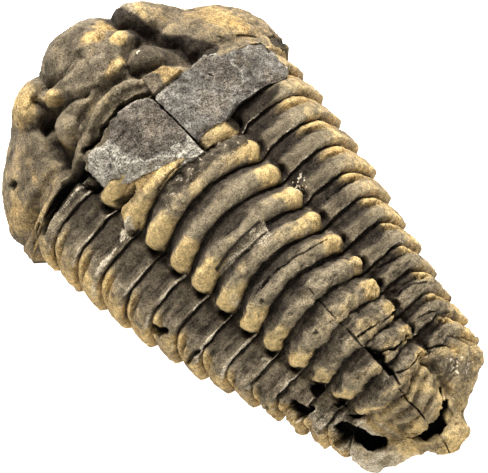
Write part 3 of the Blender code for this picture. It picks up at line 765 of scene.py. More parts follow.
RIGHT_SLAB = {
    "front": (
        (3.62, 16.1), (3.95, 16.35), (6.0, 16.9), (7.4, 17.1), (9.05, 17.25), (9.8, 17.5), (10.7, 17.5),
        (11.55, 16.9), (12.3, 16.4), (13.45, 16.1), (15.1, 16.1), (16.1, 15.8), (16.7, 15.2),
    ),
    "back": (
        (3.56, 9.3), (4.2, 9.5), (5.2, 9.8), (6.6, 9.95), (7.35, 9.9), (8.45, 10.3), (10.05, 10.5),
        (11.15, 10.5), (12.2, 10.35), (13.35, 10.4), (14.5, 10.1), (15.4, 10.1), (16.3, 11.2),
    ),
    "plate": ((3.5, 16.6), (6.05, 17.3), (6.0, 14.9), (5.2, 14.5), (3.5, 14.3)),
    "plate_high": 0.16,
    "plate_pale": 0.25,
    "rest_pale": 0.0,
    "dark_brown": (0.7, (
        (9.2, 17.6), (11.4, 17.0), (12.0, 15.4), (12.1, 13.5), (11.3, 12.4), (9.9, 13.4), (9.0, 15.0),
    )),
    "fringe": {"front": (0.9, 0.4), "back": (0.4, 0.2), "left": (0.12, 0.15), "right": (0.5, 0.4)},
    "cracks": (
        (0.06, 0.35, ((9.6, 15.2), (9.8, 14.7), (10.5, 14.3), (11.0, 14.1), (11.4, 13.6))),
    ),
    "veins": (
        ((11.6, 16.9), (11.8, 15.9), (12.1, 15.0), (12.3, 14.2), (12.3, 13.0), (12.0, 12.3)),
        ((12.1, 15.0), (13.1, 14.5)),
        ((12.3, 13.0), (11.6, 12.1)),
    ),
    "cells": (190, 100),
    "lean": {"front": 0.1, "back": -0.55, "left": 0.0, "right": 0.1},
    "end_noise": 0.6,
    "thick": 3.0,
    "seed": 140,
}
# Each noise of a slab has its own number added to the slab's seed
WOBBLE_SEED = 7
BROAD_SEED = 11
NARROW_SEED = 21
WALL_CELLS = 14
WALL_CURVE = 0.7
SLAB_FOOT = 0.3
SLAB_TORN = 0.2
SLAB_TORN_FROM = 0.12
SLAB_TORN_LUMP = 1.1
SLAB_WOBBLE = 0.45
SLAB_WOBBLE_LUMP = 1.3
SLAB_RELIEF = (0.24, 0.15)
SLAB_RELIEF_LUMPS = (2.6, 0.7)
PLATE_EDGE = (-0.3, 0.3)
PLATE_TORN = 0.9
FRINGE_PALE = 1.3
VEIN_PALE = 0.55
VEIN_EDGE = (0.16, 0.03)
VEIN_TORN = 0.15
SLAB_STAIN_EDGE = (-0.5, 0.4)
SLAB_STAIN_TORN = 1.2
WALL_DULL = 0.5
WALL_DULL_FROM = 0.2

# Corners of the chip's top as (right hand, ahead): (across, along, height)
CHIP_CORNERS = {
    (0, 0): (3.8, 16.5, 16.6),
    (0, 1): (4.2, 18.75, 16.3),
    (1, 0): (7.9, 17.2, 14.0),
    (1, 1): (6.7, 18.75, 14.6),
}
CHIP_THICK = 2.5
CHIP_WORN = 0.12
CHIP_CUTS = 20
CHIP_OCHRE = 0.6
CHIP_OCHRE_FROM = 5.4
CHIP_OCHRE_EDGE = (-0.25, 0.25)
CHIP_OCHRE_TORN = 0.5
CHIP_DARK = 0.45
CHIP_PALE = 0.25
CHIP_FRONT = 0.5

# Grain raised on the pieces, as (size, depth) of each layer
SHELL_GRAINS = ((0.35, 0.14),)
HEAD_GRAINS = ((0.9, 0.2), (0.35, 0.14))
SLAB_GRAINS = ((0.9, 0.26), (0.32, 0.2))
CHIP_GRAINS = ((0.9, 0.3), (0.3, 0.12))
GRAIN_FROM = 0.05

# Ochre of the rings and side lobes. Pairs for the two hands are (right, left)
RING_ENDS_OCHRE = ((0, 1.0), (3, 1.15), (6, 1.15), (8, 0.9), (10, 0.8), (13, 0.8))
RING_MIDDLE_OCHRE = ((0, 0.8), (2, 0.75), (3, 0.5), (4, 0.2), (6, 0.12), (8, 0.1), (10, 0.25), (13, 0.3))
RING_TINT = (FURROW_AT - 0.015, FURROW_AT + 0.01)
CREST_TINT = (0.36, 0.64)
CREST_WANDER = 0.28
TINT_WANDER = 0.05
EDGE_WANDER = 0.06
LEVEL_OCHRE = 0.9
END_FROM = (0.12, 0.14)
END_LEAN = (0.12, -0.1)
END_LEAN_AT = 0.45
END_WIDE = 0.22
SLAB_END = (0.96, 1.04)
MARGIN_TINT = (0.74, 0.9)
MARGIN_OCHRE = (0.5, 0.62)
MARGIN_FADED = 0.25
MARGIN_FADED_AT = (0.45, 0.12)
MARGIN_WANDER = 0.25
STRIPE_OCHRE = (0.8, 0.6)
STRIPE_AT = (0.24, 0.15)
STRIPE_FROM = (0.6, 0.68)
STRIPE_TO = 0.82

# Dark stain and painted shade of the rings and side lobes: stain and painted shade in the front bands and
# on the inner lobes, painted shade on the rear slopes, in the pits, grooves and steps and under the slabs.
# Levels that change by each (amount, from, to)
BAND_STAIN_AND_SHADE = 0.84
BAND_TINT = (0.7, 0.26)
BAND_HIND_LESS = 0.45
BAND_LEVEL_LESS = 0.8
LIP_SHADE = 0.35
LIP_TINT = (0.8, 1.0)
LOBE_INNER = (FURROW_AT, FURROW_AT + 0.03)
LOBE_OUTER = (0.66, 0.86)
RIGHT_LOBE_STAIN_AND_SHADE = (0.95, ((-0.45, 0.38, 0.6),))
LEFT_LOBE_STAIN_AND_SHADE = (0.74, ((-0.2, 0.25, 0.5), (0.12, 0.6, 0.75), (-0.2, 0.8, 0.92)))
HIND_LOBES = (6.5, 10)
LOBE_HIND_LESS = (0.1, 0.5)
LOBE_WANDER = 0.2
PIT_SHADE = 1.1
PIT_DARK_FROM = (0.5, 0.68)
PIT_DARK_TO = (1.02, 0.93)
GROOVE_SHADE = 0.5
GROOVE_AT = (0.36, 0.05)
GROOVE_FROM = (0.8, 0.9)
STEP_SHADE = 0.6
STEP_FRONT = (0.0, 0.035)
STEP_BACK = (1.0, 0.01)
UNDER_SLAB_SHADE = 0.6
UNDER_SLAB_WANDER = 0.25

# Chalk along the back lips of the side lobes
PALE_LIP = (0.5, 0.95)
PALE_LIP_AT = 0.957
PALE_LIP_WIDE = (0.014, 0.02)
PALE_LIP_FROM = (FURROW_AT, FURROW_AT + 0.02)
PALE_LIP_TO = (0.76, 0.95)
PALE_BREAKS = (-0.4, 0.5)

# What is rubbed pale: crests and left ends of the rings, backs of the right lobes, the tail. The pale left
# ends of the rings are partly a painted highlight
WORN_LEAST = 0.2
WORN_RING = (FURROW_AT - 0.03, FURROW_AT)
WORN_CREST = (0.46, 0.74)
WORN_LIP = (1.0, 0.88)
WORN_END = 0.16
WORN_END_SPAN = (0.1, 0.3)
WORN_LEFT_AND_HIGHLIGHT = 0.95
WORN_LEFT_SPAN = (-0.12, -0.3)
WORN_LEFT_LAST = (14, 10)
WORN_REAR = 0.25
WORN_REAR_FROM = (0.5, 0.7)
WORN_REAR_TO = (1.0, 0.9)
WORN_REAR_RIGHT = (-0.1, 0.1)
TAIL_WORN = 0.4
TAIL_WORN_WANDER = 0.3
TAIL_WORN_LEFT = 0.7
TAIL_WORN_SPAN = (-2, -6)

# Stains and patches of the head, the dark ones partly painted shade in its hollows, as (across, along, half
# width, half length, turn, strength)
HEAD_OCHRE = (
    (-4.1, 25.5, 1.3, 1, 0, 0.75), (3.3, 27, 1.2, 0.8, 0, 0.9), (5.6, 27.8, 1, 1, 0, 0.7),
    (5.5, 24.7, 0.9, 0.7, 0, 1), (3.6, 22.4, 1.8, 0.55, 10, 0.6), (-7.2, 28.3, 2.4, 2.2, 0, 0.9),
    (-6.9, 21.4, 0.8, 1.4, 0, 0.6), (9.6, 26.8, 0.8, 2.6, -18, 0.6), (-16, 21, 1.6, 4.5, 30, 0.6),
    (15, 21, 1.8, 4, 25, 0.7), (-11.5, 25, 2.6, 2.2, 0, 0.3), (-14.5, 23, 1.2, 1.2, 0, 0.5),
    (-1, 20.9, 2.6, 0.5, 0, 0.35),
)
# Dark patches: stains, and painted shade in the hollows beside the glabella and cheeks
HEAD_DARK = (
    (-2, 26.6, 1.9, 0.5, -8, 0.5), (-3, 24, 1.8, 0.5, 5, 0.55), (5.9, 20.9, 1.9, 1.6, 0, 0.7),
    (-3.4, 21.8, 2.6, 1.5, 0, 0.3), (-8.3, 24, 1, 4, 0, 0.45), (1.5, 24.5, 1.2, 1.8, 15, 0.25),
    (11.2, 18.6, 1.8, 1.4, 0, 0.6), (-10.5, 19.2, 3.5, 1, 8, 0.35), (-9.8, 22, 3.4, 3.6, 0, 0.5),
    (-13, 20, 4, 1.4, 12, 0.35), (-0.5, 29.6, 3.8, 2.4, 0, 0.36), (1.8, 28.2, 1.8, 1.2, 20, 0.5),
    (12.2, 23, 2.6, 3.4, 20, 0.4), (14.5, 19.5, 2.2, 1.8, 0, 0.3), (-3.5, 25, 3, 0.7, -10, 0.45),
    (2.8, 25.4, 2.2, 0.6, 10, 0.4), (12.6, 20.6, 1.8, 2.6, 0, 0.4), (-12.5, 27, 2.5, 1.2, -40, 0.4),
    (11, 22.5, 1.2, 4, -20, 0.35), (8, 20.5, 1.6, 3, 0, 0.5),
)
PATCH_EDGE = (1.7, 0.3)
PATCH_TORN = 0.6
HEAD_OCHRE_LEAST = 0.08
HEAD_WANDER = 0.2
CHEEK_OCHRE = 0.2
CHEEK_OCHRE_FROM = (8.5, 12)
# Painted shade along the deep furrow between the glabella and the right cheek
RIGHT_FURROW = ((7.1, 28.6), (7.7, 25.6), (8.4, 22.6), (10.2, 19.6), (11.4, 17.6))
RIGHT_FURROW_WIDE = 1.15
RIGHT_FURROW_EDGE = (1.3, 0.6)
FURROW_OCHRE_LESS = 0.7

# The same for the tail
TAIL_OCHRE = (
    (-4.2, -23.6, 1, 2.4, 20, 0.8), (-5.5, -28, 5, 1.3, 20, 0.75), (0, -30, 2.6, 1.2, 0, 0.8),
    (-2.5, -23.3, 1.2, 1, 0, 0.5), (3.3, -22.6, 0.8, 0.6, 0, 0.7),
)
TAIL_DARK = (
    (-6.8, -26.2, 1.2, 1.2, 30, 0.4), (5, -23.3, 1, 2, -20, 0.3),
)
TAIL_OCHRE_LEAST = 0.36
TAIL_WANDER = 0.4
TAIL_PALE = 0.7
TAIL_PALE_FROM = (-3.0, -6.5)
TAIL_PALE_BREAKS = (-0.7, 0.3)

# Unevenness of the whole skin, as depths of the (broad, narrow) lumps
DRIFT = (0.11, 0.05)
DRIFT_SEEDS = ((201, 205), (211, 215))
UNEVEN = (0.13, 0.06)
UNEVEN_SEEDS = (11, 21)
HIND_ROUGHER = 0.9
HIND_ROUGH_SPAN = (-6, -18)
RING_UNEVEN = 0.3
RING_UNEVEN_FROM = (6, 9)
CALM_RADIUS = 9
CALM_UPRIGHT = 0.35

# Fine wrinkles across the body
WRINKLE_STRETCH = (0.2, 1.0, 0.6)
WRINKLE_HIGH = 0.15
WRINKLED_HEAD = 0.1
WRINKLED_RINGS = 0.35
WRINKLED_HIND = 0.65
WRINKLED_HIND_FROM = (4, 10)
WRINKLED_TAIL = 0.7
WRINKLE_TINT = 0.3
WRINKLE_DARK = (0.1, 0.7)
WRINKLE_PALE = (0.3, 0.8)

# Rough crust on the third ring
CRUST_FRONT = (3.0, 3.04)
CRUST_BACK = (3.65, 3.6)
CRUST_LEFT = (-3.6, -2.6)
CRUST_RIGHT = (7.4, 7.3)
CRUST_HIGH = 0.34
CRUST_ROUGH = 0.42
CRUST_DARK = 0.66
CRUST_MOTTLE = 0.3
CRUST_PALE = 0.5
CRUST_PALE_SPAN = (0.3, 0.8)
OCHRE_HIDDEN = 0.8

# Raised flake behind the sixth ring, with a painted shadow line ahead of it and a painted shadow in the gap
# beside it
FLAKE_SEGMENT = 6
FLAKE_FROM = -4.6
FLAKE_THICK_FROM = -0.5
FLAKE_TO = 2.25
FLAKE_SIDE = (FLAKE_TO + 0.05, FLAKE_TO)
FLAKE_AHEAD = 0.03
FLAKE_LEAST = 0.06
FLAKE_LONG = 0.66
FLAKE_TORN = (0.75, 0.5)
FLAKE_END = (0.03, 0)
FLAKE_HIGH = 0.9
FLAKE_FALL = (0.3, 0.02)
FLAKE_PALE = 0.3
FLAKE_WANDER = 0.25
FLAKE_DARK = 0.2
FLAKE_LINE = (-0.06, 0.035)
FLAKE_LINE_TO = (FLAKE_TO + 0.1, FLAKE_TO)
FLAKE_GAP_SHADE = 0.9
FLAKE_GAP_FROM = (FLAKE_TO, FLAKE_TO + 0.1)
FLAKE_GAP_TO = (FLAKE_TO + 1.6, FLAKE_TO + 0.5)
FLAKE_GAP_LONG = (0.4, 0.3)

# Furrows, knobs, hollows and cracks; the hollows and cracks are painted black inside as their shade
FURROW_TORN = 0.15
FURROW_STAIN_AND_SHADE = 0.4
FURROW_STAIN_AND_SHADE_RISE = 1.6
KNOB_EDGE = (1.25, 0.2)
KNOB_TORN = 0.15
HOLE_WALL = (-0.04, 0.22)
HOLE_FLOOR = (0.85, 0.25)
HOLE_BLACK = (0.0, 0.12)
HOLE_BLACK_BY_DEPTH = (0.45, 0.5)
CRACK_TORN = 0.1
CRACK_BLACK = 0.5

# Cream crusts as (across, along, half width, half length, turn, strength)
CRUSTS = (
    (-10.3, 17, 3.4, 0.45, 2, 0.45), (-14.2, 15.4, 1.8, 0.8, 38, 0.3), (-8.4, 9.75, 1.2, 0.5, 0, 0.75),
    (-12.5, 9.2, 2.2, 0.25, 3, 0.6), (-15.5, 8.8, 1.2, 0.4, 10, 0.4), (-5.3, -4.6, 0.9, 0.5, 0, 0.4),
    (-3.9, -24, 0.4, 2, 12, 0.5), (-7, -20.2, 1, 0.6, 0, 0.4), (-4.9, -21.9, 0.8, 0.7, 0, 0.4),
    (-6.9, -26.2, 1.5, 1.4, 40, 0.3), (-4.6, -28, 3.2, 1, -25, 0.5), (-8.2, -24.6, 1.2, 2, 20, 0.4),
    (-8.6, -19, 1.6, 1.6, 0, 0.36), (-8, -21.6, 1, 1.6, 0, 0.36), (-7.6, -13.4, 1.2, 0.8, 0, 0.25),
    (6.4, 15.9, 0.5, 0.9, 0, 0.6), (9.6, 28, 1.2, 2.2, -25, 0.35),
)
# Chalk specks as (across, along, size)
CHALK_SPECKS = (
    (7.7, -0.3, 0.9), (8.4, 0.3, 0.7), (6.2, -24.5, 1), (6.8, -25.1, 0.9), (5.4, -24.9, 0.5),
    (-3.6, 6.9, 0.4), (-9, 9.3, 0.7), (5.9, 21.1, 0.3), (1.35, 19.8, 0.3), (6.3, 16, 0.5),
)
CHALK_EDGE = (1.4, 0.6)
CHALK_SPAN = (0.25, 0.5)
CHALK_STRONG = 1.2
# Deep painted shadow on the skin under the right slab
SLAB_SHADE = (
    (7.0, 10.3), (9.0, 10.4), (12.0, 10.2), (14.5, 9.8), (13.5, 8.8), (11.5, 8.4), (8.5, 8.2), (7.2, 8.6),
)
SHADE_DARK = 0.95
SHADE_EDGE = (-0.3, 0.4)

# Tint by how hollow or proud the surface is: hollows darkened with dirt and painted shade, edges paler with
# chalk and a painted highlight, as (strength, from, range)
HOLLOW_RADIUS = 3
WIDE_RADIUS = 9
HOLLOW_DIRT_AND_SHADE = (1.6, 0.02, 0.3)
WIDE_DIRT_AND_SHADE = (0.5, 0.1, 0.6)
EDGE_CHALK_AND_HIGHLIGHT = (0.9, 0.06, 0.25)
PROUD_WORN = 1.6
PROUD_WORN_MOST = 0.5
WORN_WANDER = 0.1


def stepped(level, changes, at):
    """A level that changes by each (amount, from, to) in turn."""
    for amount, low, high in changes:
        level = level + amount * ease(low, high, at)
    return level


def past_limit(value, rule):
    """Nothing up to a limit, and then more until the range is used up."""
    strength, limit, most = rule
    return strength * np.clip(value - limit, 0, most)


def patches(points, places, wander):
    """Strength of a set of soft-edged patches, the highest where they meet."""
    total = np.zeros(points.shape[:2])
    for x, y, half_width, half_length, turn, strength in places:
        reach = reach_from(points, x, y, half_width, half_length, turn) + PATCH_TORN * wander
        total = np.maximum(total, strength * ease(*PATCH_EDGE, reach))
    return total


def thorax_ochre(number, phase, columns, wander):
    """Ochre on the crests and ends of the rings, and on the margins of the side lobes."""
    side = np.abs(columns)
    place = number + phase
    ring = 1 - ease(*RING_TINT, side)
    crest = ease(*CREST_TINT, ring_phase(number, phase, columns) + TINT_WANDER * wander)
    crest = np.maximum(crest, LEVEL_OCHRE * level_share(number, columns))
    lean = by_hand(columns, END_FROM) + by_hand(columns, END_LEAN) * (phase - END_LEAN_AT)
    ends = curve(RING_ENDS_OCHRE, place) * ease(lean, lean + END_WIDE, side + EDGE_WANDER * wander)
    crests = np.clip(np.maximum(ends, curve(RING_MIDDLE_OCHRE, place)) + CREST_WANDER * wander, 0, 1)
    margin = ease(*MARGIN_TINT, side + EDGE_WANDER * wander)
    faded = by_hand(columns, MARGIN_OCHRE) * (1 - MARGIN_FADED * hump(*MARGIN_FADED_AT, phase))
    stripe = hump(*STRIPE_AT, phase) * ease(by_hand(columns, STRIPE_FROM), STRIPE_TO, side)
    edges = margin * faded + by_hand(columns, STRIPE_OCHRE) * stripe
    edges = np.clip(edges + MARGIN_WANDER * wander * margin, 0, 1)
    return ring * crest * crests * ease(*SLAB_END, place) + (1 - ring) * edges


def thorax_dark(number, phase, columns, wander):
    """Dark stain and painted shade ahead of the rings and on the side lobes, and painted shade on the rear
    slopes, in the pits, furrows and steps and under the slabs.
    """
    side = np.abs(columns)
    place = number + phase
    ring = 1 - ease(*RING_TINT, side)
    stretched = ring_phase(number, phase, columns) + TINT_WANDER * wander
    # The front band is darkened with stain and with painted shade under the lip ahead, the rear slope with
    # painted shade
    band = ring * (BAND_STAIN_AND_SHADE * ease(*BAND_TINT, stretched) + LIP_SHADE * ease(*LIP_TINT, phase))
    band = band * (1 - BAND_HIND_LESS * ease(*HIND_RINGS, place))
    band = band * (1 - BAND_LEVEL_LESS * level_share(number, columns))
    # The inner side lobes are darkened with their own brown and with painted shade cast by the raised axis
    lobe = ease(*LOBE_INNER, side) * (1 - ease(*LOBE_OUTER, side))
    shade = by_hand(columns, (stepped(*RIGHT_LOBE_STAIN_AND_SHADE, phase), stepped(*LEFT_LOBE_STAIN_AND_SHADE, phase)))
    shade = shade - by_hand(columns, LOBE_HIND_LESS) * ease(*HIND_LOBES, place)
    # Painted shade in the pits at the ends of the rings, in the grooves of the margins and in the steps at
    # the lips
    pit = PIT_SHADE * hump(*PIT_PLACE, side) * ease(*PIT_DARK_FROM, phase) * ease(*PIT_DARK_TO, phase)
    groove = GROOVE_SHADE * hump(*GROOVE_AT, phase) * ease(*GROOVE_FROM, side)
    step = STEP_SHADE * hump(*STEP_FRONT, phase) + STEP_SHADE * hump(*STEP_BACK, phase)
    dark = np.clip(band + lobe * shade + LOBE_WANDER * wander * lobe + pit + groove + step, 0, 1)
    # Painted shade on the rings where they run under the rock slabs
    under_slab = ring * ease(SLAB_END[1], SLAB_END[0], place)
    return np.maximum(dark, under_slab * (UNDER_SLAB_SHADE + UNDER_SLAB_WANDER * wander))


def thorax_pale(points, phase, columns):
    """Chalk along the back lips of the side lobes."""
    side = np.abs(columns)
    lip = hump(PALE_LIP_AT, by_hand(columns, PALE_LIP_WIDE), phase)
    lip = lip * ease(*PALE_LIP_FROM, side) * (1 - ease(*PALE_LIP_TO, side))
    return lip * by_hand(columns, PALE_LIP) * ease(*PALE_BREAKS, clumps(points, *PALE_NOISE))


def thorax_worn(number, phase, columns, on_ring):
    """How much the rings and the backs of the right lobes are rubbed, with a painted highlight added on the
    left ends of the rings.
    """
    crest = ease(*WORN_CREST, ring_phase(number, phase, columns)) * ease(*WORN_LIP, phase)
    end = ease(*WORN_END_SPAN, np.abs(columns))
    # The left ends of the rings are rubbed and also given a painted highlight
    left_end = ease(*WORN_LEFT_SPAN, columns) * ease(*WORN_LEFT_LAST, number)
    rear = ease(*WORN_REAR_FROM, phase) * ease(*WORN_REAR_TO, phase) * ease(*WORN_REAR_RIGHT, columns)
    rubbed_and_highlight = (WORN_LEAST + WORN_END * end + WORN_LEFT_AND_HIGHLIGHT * left_end) * crest * on_ring
    return rubbed_and_highlight + WORN_REAR * rear * (1 - on_ring)


def head_tints(points, wander):
    """Where the head is ochre, and where it is dark with stain and painted shade."""
    outer = ease(*CHEEK_OCHRE_FROM, np.abs(points[..., 0]))
    ochre = CHEEK_OCHRE * outer + HEAD_OCHRE_LEAST + HEAD_WANDER * wander
    ochre = np.maximum(patches(points, HEAD_OCHRE, wander), ochre)
    # Painted shade in the furrow beside the glabella on the right
    far = line_distance(points, RIGHT_FURROW) / RIGHT_FURROW_WIDE
    furrow = ease(*RIGHT_FURROW_EDGE, far + HEAD_WANDER * wander)
    dark = np.maximum(patches(points, HEAD_DARK, wander), furrow)
    return ochre * (1 - FURROW_OCHRE_LESS * furrow), dark


def tail_tints(points, wander):
    """Where the tail is ochre, dark, chalky and rubbed."""
    ochre = np.maximum(patches(points, TAIL_OCHRE, wander), TAIL_OCHRE_LEAST + TAIL_WANDER * wander)
    pale = TAIL_PALE * ease(*TAIL_PALE_FROM, points[..., 0]) * ease(*TAIL_PALE_BREAKS, wander)
    left = ease(*TAIL_WORN_SPAN, points[..., 0])
    worn_and_highlight = TAIL_WORN + TAIL_WORN_WANDER * wander + TAIL_WORN_LEFT * left
    return ochre, patches(points, TAIL_DARK, wander), pale, worn_and_highlight


def add_wrinkles(points, place, waist, tints):
    """Fine wrinkles, dark between and pale on top: how far they are raised."""
    wrinkle = ragged(points * np.array(WRINKLE_STRETCH), *WRINKLE_NOISE)
    on_rings = place > 0
    share = np.where(on_rings, WRINKLED_RINGS, WRINKLED_HEAD)
    share = share + WRINKLED_HIND * ease(*WRINKLED_HIND_FROM, place) * on_rings
    share = np.maximum(share, WRINKLED_TAIL * (np.arange(len(points)) >= waist)[:, None])
    tints["dark"] = tints["dark"] + WRINKLE_TINT * share * ease(*WRINKLE_DARK, -wrinkle)
    tints["pale"] = np.maximum(tints["pale"], WRINKLE_TINT * share * ease(*WRINKLE_PALE, wrinkle))
    return WRINKLE_HIGH * wrinkle * share


def add_crust(points, place, wander, tints):
    """Rough mottled crust on the front of one ring: how far it is raised."""
    across = points[..., 0]
    crust = ease(*CRUST_FRONT, place) * ease(*CRUST_BACK, place + EDGE_WANDER * wander)
    crust = crust * ease(*CRUST_LEFT, across) * ease(*CRUST_RIGHT, across)
    blotch = CRUST_DARK + CRUST_MOTTLE * clumps(points, *CRUST_BLOTCH_NOISE)
    specks = CRUST_PALE * crust * ease(*CRUST_PALE_SPAN, clumps(points, *CRUST_SPECK_NOISE))
    tints["dark"] = np.maximum(tints["dark"] * (1 - crust), crust * blotch)
    tints["pale"] = np.maximum(tints["pale"], specks)
    tints["ochre"] = tints["ochre"] * (1 - OCHRE_HIDDEN * crust)
    return crust * (CRUST_HIGH + CRUST_ROUGH * ragged(points, *CRUST_NOISE))


def add_flake(points, place, wander, tints):
    """A raised flake behind one ring, thin at its left end: how far it is raised."""
    across = points[..., 0]
    behind = place - FLAKE_SEGMENT
    started = across > FLAKE_FROM
    share = np.clip((across - FLAKE_FROM) / (FLAKE_TO - FLAKE_FROM), 0, 1)
    torn = FLAKE_TORN[0] + FLAKE_TORN[1] * clumps(points, *FLAKE_NOISE)
    end = FLAKE_SEGMENT + FLAKE_LEAST + FLAKE_LONG * share * torn
    flake = (place > FLAKE_SEGMENT - FLAKE_AHEAD) * ease(*FLAKE_END, place - end)
    flake = flake * started * ease(*FLAKE_SIDE, across)
    tints["pale"] = np.maximum(tints["pale"], flake * (FLAKE_PALE + FLAKE_WANDER * wander))
    tints["ochre"] = tints["ochre"] * (1 - OCHRE_HIDDEN * flake)
    # Painted shadow along the lip ahead of the flake and in the gap beside it
    line = started * ease(*FLAKE_LINE_TO, across) * hump(*FLAKE_LINE, behind)
    gap = ease(*FLAKE_GAP_FROM, across) * ease(*FLAKE_GAP_TO, across)
    gap = gap * (behind > 0) * ease(*FLAKE_GAP_LONG, behind)
    dark = np.maximum(tints["dark"] * (1 - flake) + FLAKE_DARK * flake, line)
    tints["dark"] = np.maximum(dark, FLAKE_GAP_SHADE * gap)
    return flake * ease(FLAKE_FROM, FLAKE_THICK_FROM, across) * FLAKE_HIGH * ease(*FLAKE_FALL, behind)


def raise_knobs(points, lift, wander):
    """The height given, with the small raised knobs added."""
    for x, y, half_width, half_length, turn, high in KNOBS:
        reach = reach_from(points, x, y, half_width, half_length, turn)
        lift = lift + high * ease(*KNOB_EDGE, reach + KNOB_TORN * wander)
    return lift


def press_furrows(points, tints):
    """Depth of the worn furrows, which are darkened with stain and painted shade."""
    press = np.zeros(points.shape[:2])
    torn = FURROW_TORN * clumps(points, *FURROW_NOISE)
    for half_width, depth, line in FURROWS:
        share = hump(0, half_width, line_distance(points, line) + torn)
        press = press + depth * share
        # Stain and painted shade in the furrow
        tints["dark"] = np.maximum(tints["dark"], FURROW_STAIN_AND_SHADE * share * min(1, depth * FURROW_STAIN_AND_SHADE_RISE))
    return press


def crack_share(places, torn, half_width, line):
    """Where a crack along a line is open."""
    far = line_distance(places, line) + torn
    return ease(1.5 * half_width, 0.5 * half_width, np.abs(far))


def break_open(points, press, tints):
    """The depth given, with the hollows and cracks added, which are painted black inside as their shade."""
    leaning = points.copy()
    leaning[..., 1] += LEAN_BACK * (points[..., 2] - LEVEL_AT)
    void_shade = tints["void_shade"]
    torn = ragged(points, *HOLE_EDGE_NOISE)
    floor = HOLE_FLOOR[0] + HOLE_FLOOR[1] * clumps(points, *HOLE_FLOOR_NOISE)
    least, by_depth = HOLE_BLACK_BY_DEPTH
    for depth, wobble, corners in HOLES:
        deep = inside(leaning, corners) + wobble * torn
        press = press + depth * ease(*HOLE_WALL, deep) * floor
        # Black painted shade inside the hollow
        void_shade = np.maximum(void_shade, ease(*HOLE_BLACK, deep) * min(1, least + by_depth * depth))
    torn = CRACK_TORN * clumps(points, *CRACK_NOISE)
    for half_width, depth, line in CRACKS:
        share = crack_share(leaning, torn, half_width, line)
        press = press + depth * share
        # Black painted shade inside the crack
        void_shade = np.maximum(void_shade, min(1, CRACK_BLACK + depth) * share)
    tints["void_shade"] = void_shade
    return press


def add_chalk(points, wander, tints):
    """Cream crusts, chalk specks and the painted shadow under the right slab."""
    pale = np.maximum(tints["pale"], patches(points, CRUSTS, wander))
    specks = ease(*CHALK_SPAN, clumps(points, *CHALK_NOISE))
    for x, y, size in CHALK_SPECKS:
        cluster = ease(*CHALK_EDGE, reach_from(points, x, y, size, size, 0))
        pale = np.maximum(pale, CHALK_STRONG * cluster * specks)
    tints["pale"] = pale
    # Painted shadow under the right slab's overhanging back edge
    shade = SHADE_DARK * ease(*SHADE_EDGE, inside(points, SLAB_SHADE))
    tints["dark"] = np.maximum(tints["dark"], shade)


def tint_by_relief(points, wander, tints):
    """Hollows are darkened with dirt and painted shade, edges are paler with chalk and a painted highlight,
    and what stands proud is rubbed.
    """
    outward = outward_of(points)
    hollow = cavity_of(points, outward, HOLLOW_RADIUS)
    wide_hollow = cavity_of(points, outward, WIDE_RADIUS)
    # Dirt and painted shade in the hollows
    darkened = tints["dark"] + past_limit(hollow, HOLLOW_DIRT_AND_SHADE)
    tints["dark"] = darkened + past_limit(wide_hollow, WIDE_DIRT_AND_SHADE)
    # Chalk and a painted highlight on the edges
    tints["pale"] = tints["pale"] + past_limit(-hollow, EDGE_CHALK_AND_HIGHLIGHT) * (1 - tints["void_shade"])
    proud = np.clip(-PROUD_WORN * wide_hollow, 0, PROUD_WORN_MOST)
    tints["worn_and_highlight"] = tints["worn_and_highlight"] + proud + WORN_WANDER * wander


def build_skin():
    """Points of the whole upper surface and the tints laid over it."""
    columns = skin_columns()
    rings, number, phase = thorax(columns)
    shield = head(columns)
    points = np.concatenate([shield, rings, tail(columns)])
    neck = len(shield)
    waist = neck + len(rings)
    body = slice(neck, waist)
    place = np.full(points.shape[:2], -1.0)
    place[body] = number + phase
    on_ring = 1 - ease(*WORN_RING, np.abs(columns))

    wander = ragged(points, *WANDER_NOISE)
    tints = {tint: np.zeros(points.shape[:2]) for tint in ("ochre", "dark", "pale", "void_shade", "worn_and_highlight")}
    ochre, dark, pale, _, worn_and_highlight = tints.values()
    ochre[:neck], dark[:neck] = head_tints(points[:neck], wander[:neck])
    ochre[body] = thorax_ochre(number, phase, columns, wander[body])
    dark[body] = thorax_dark(number, phase, columns, wander[body])
    pale[body] = thorax_pale(points[body], phase, columns)
    worn_and_highlight[body] = thorax_worn(number, phase, columns, on_ring)
    ochre[waist:], dark[waist:], pale[waist:], worn_and_highlight[waist:] = tail_tints(points[waist:], wander[waist:])

    rough_hind = 1 + HIND_ROUGHER * ease(*HIND_ROUGH_SPAN, points[..., 1])
    drift = [uneven(points, DRIFT, seeds) for seeds in DRIFT_SEEDS]
    for axis in (0, 1):
        points[..., axis] += drift[axis] * rough_hind
    outward = outward_of(points)
    calm = blur(outward, CALM_RADIUS) + CALM_UPRIGHT * np.array([0, 0, 1.0])
    calm = calm / np.linalg.norm(calm, axis=2, keepdims=True)
    lift = uneven(points, UNEVEN, UNEVEN_SEEDS) * rough_hind
    lift = lift + add_wrinkles(points, place, waist, tints)
    hind = RING_UNEVEN * on_ring * ease(*RING_UNEVEN_FROM, place[body])
    lift[body] = lift[body] + hind * ragged(points[body], *RING_NOISE)
    lift = lift + add_crust(points, place, wander, tints)
    lift = lift + add_flake(points, place, wander, tints)
    lift = raise_knobs(points, lift, wander)
    press = break_open(points, press_furrows(points, tints), tints)
    add_chalk(points, wander, tints)
    points = points + outward * lift[..., None] - calm * press[..., None]
    points[..., 2] = sink_under_slabs(points)
    tint_by_relief(points, wander, tints)
    return points, tints, neck, waist


def let_go():
    if bpy.context.object and bpy.context.object.mode != "OBJECT":
        bpy.ops.object.mode_set(mode="OBJECT")
    bpy.ops.object.select_all(action="DESELECT")


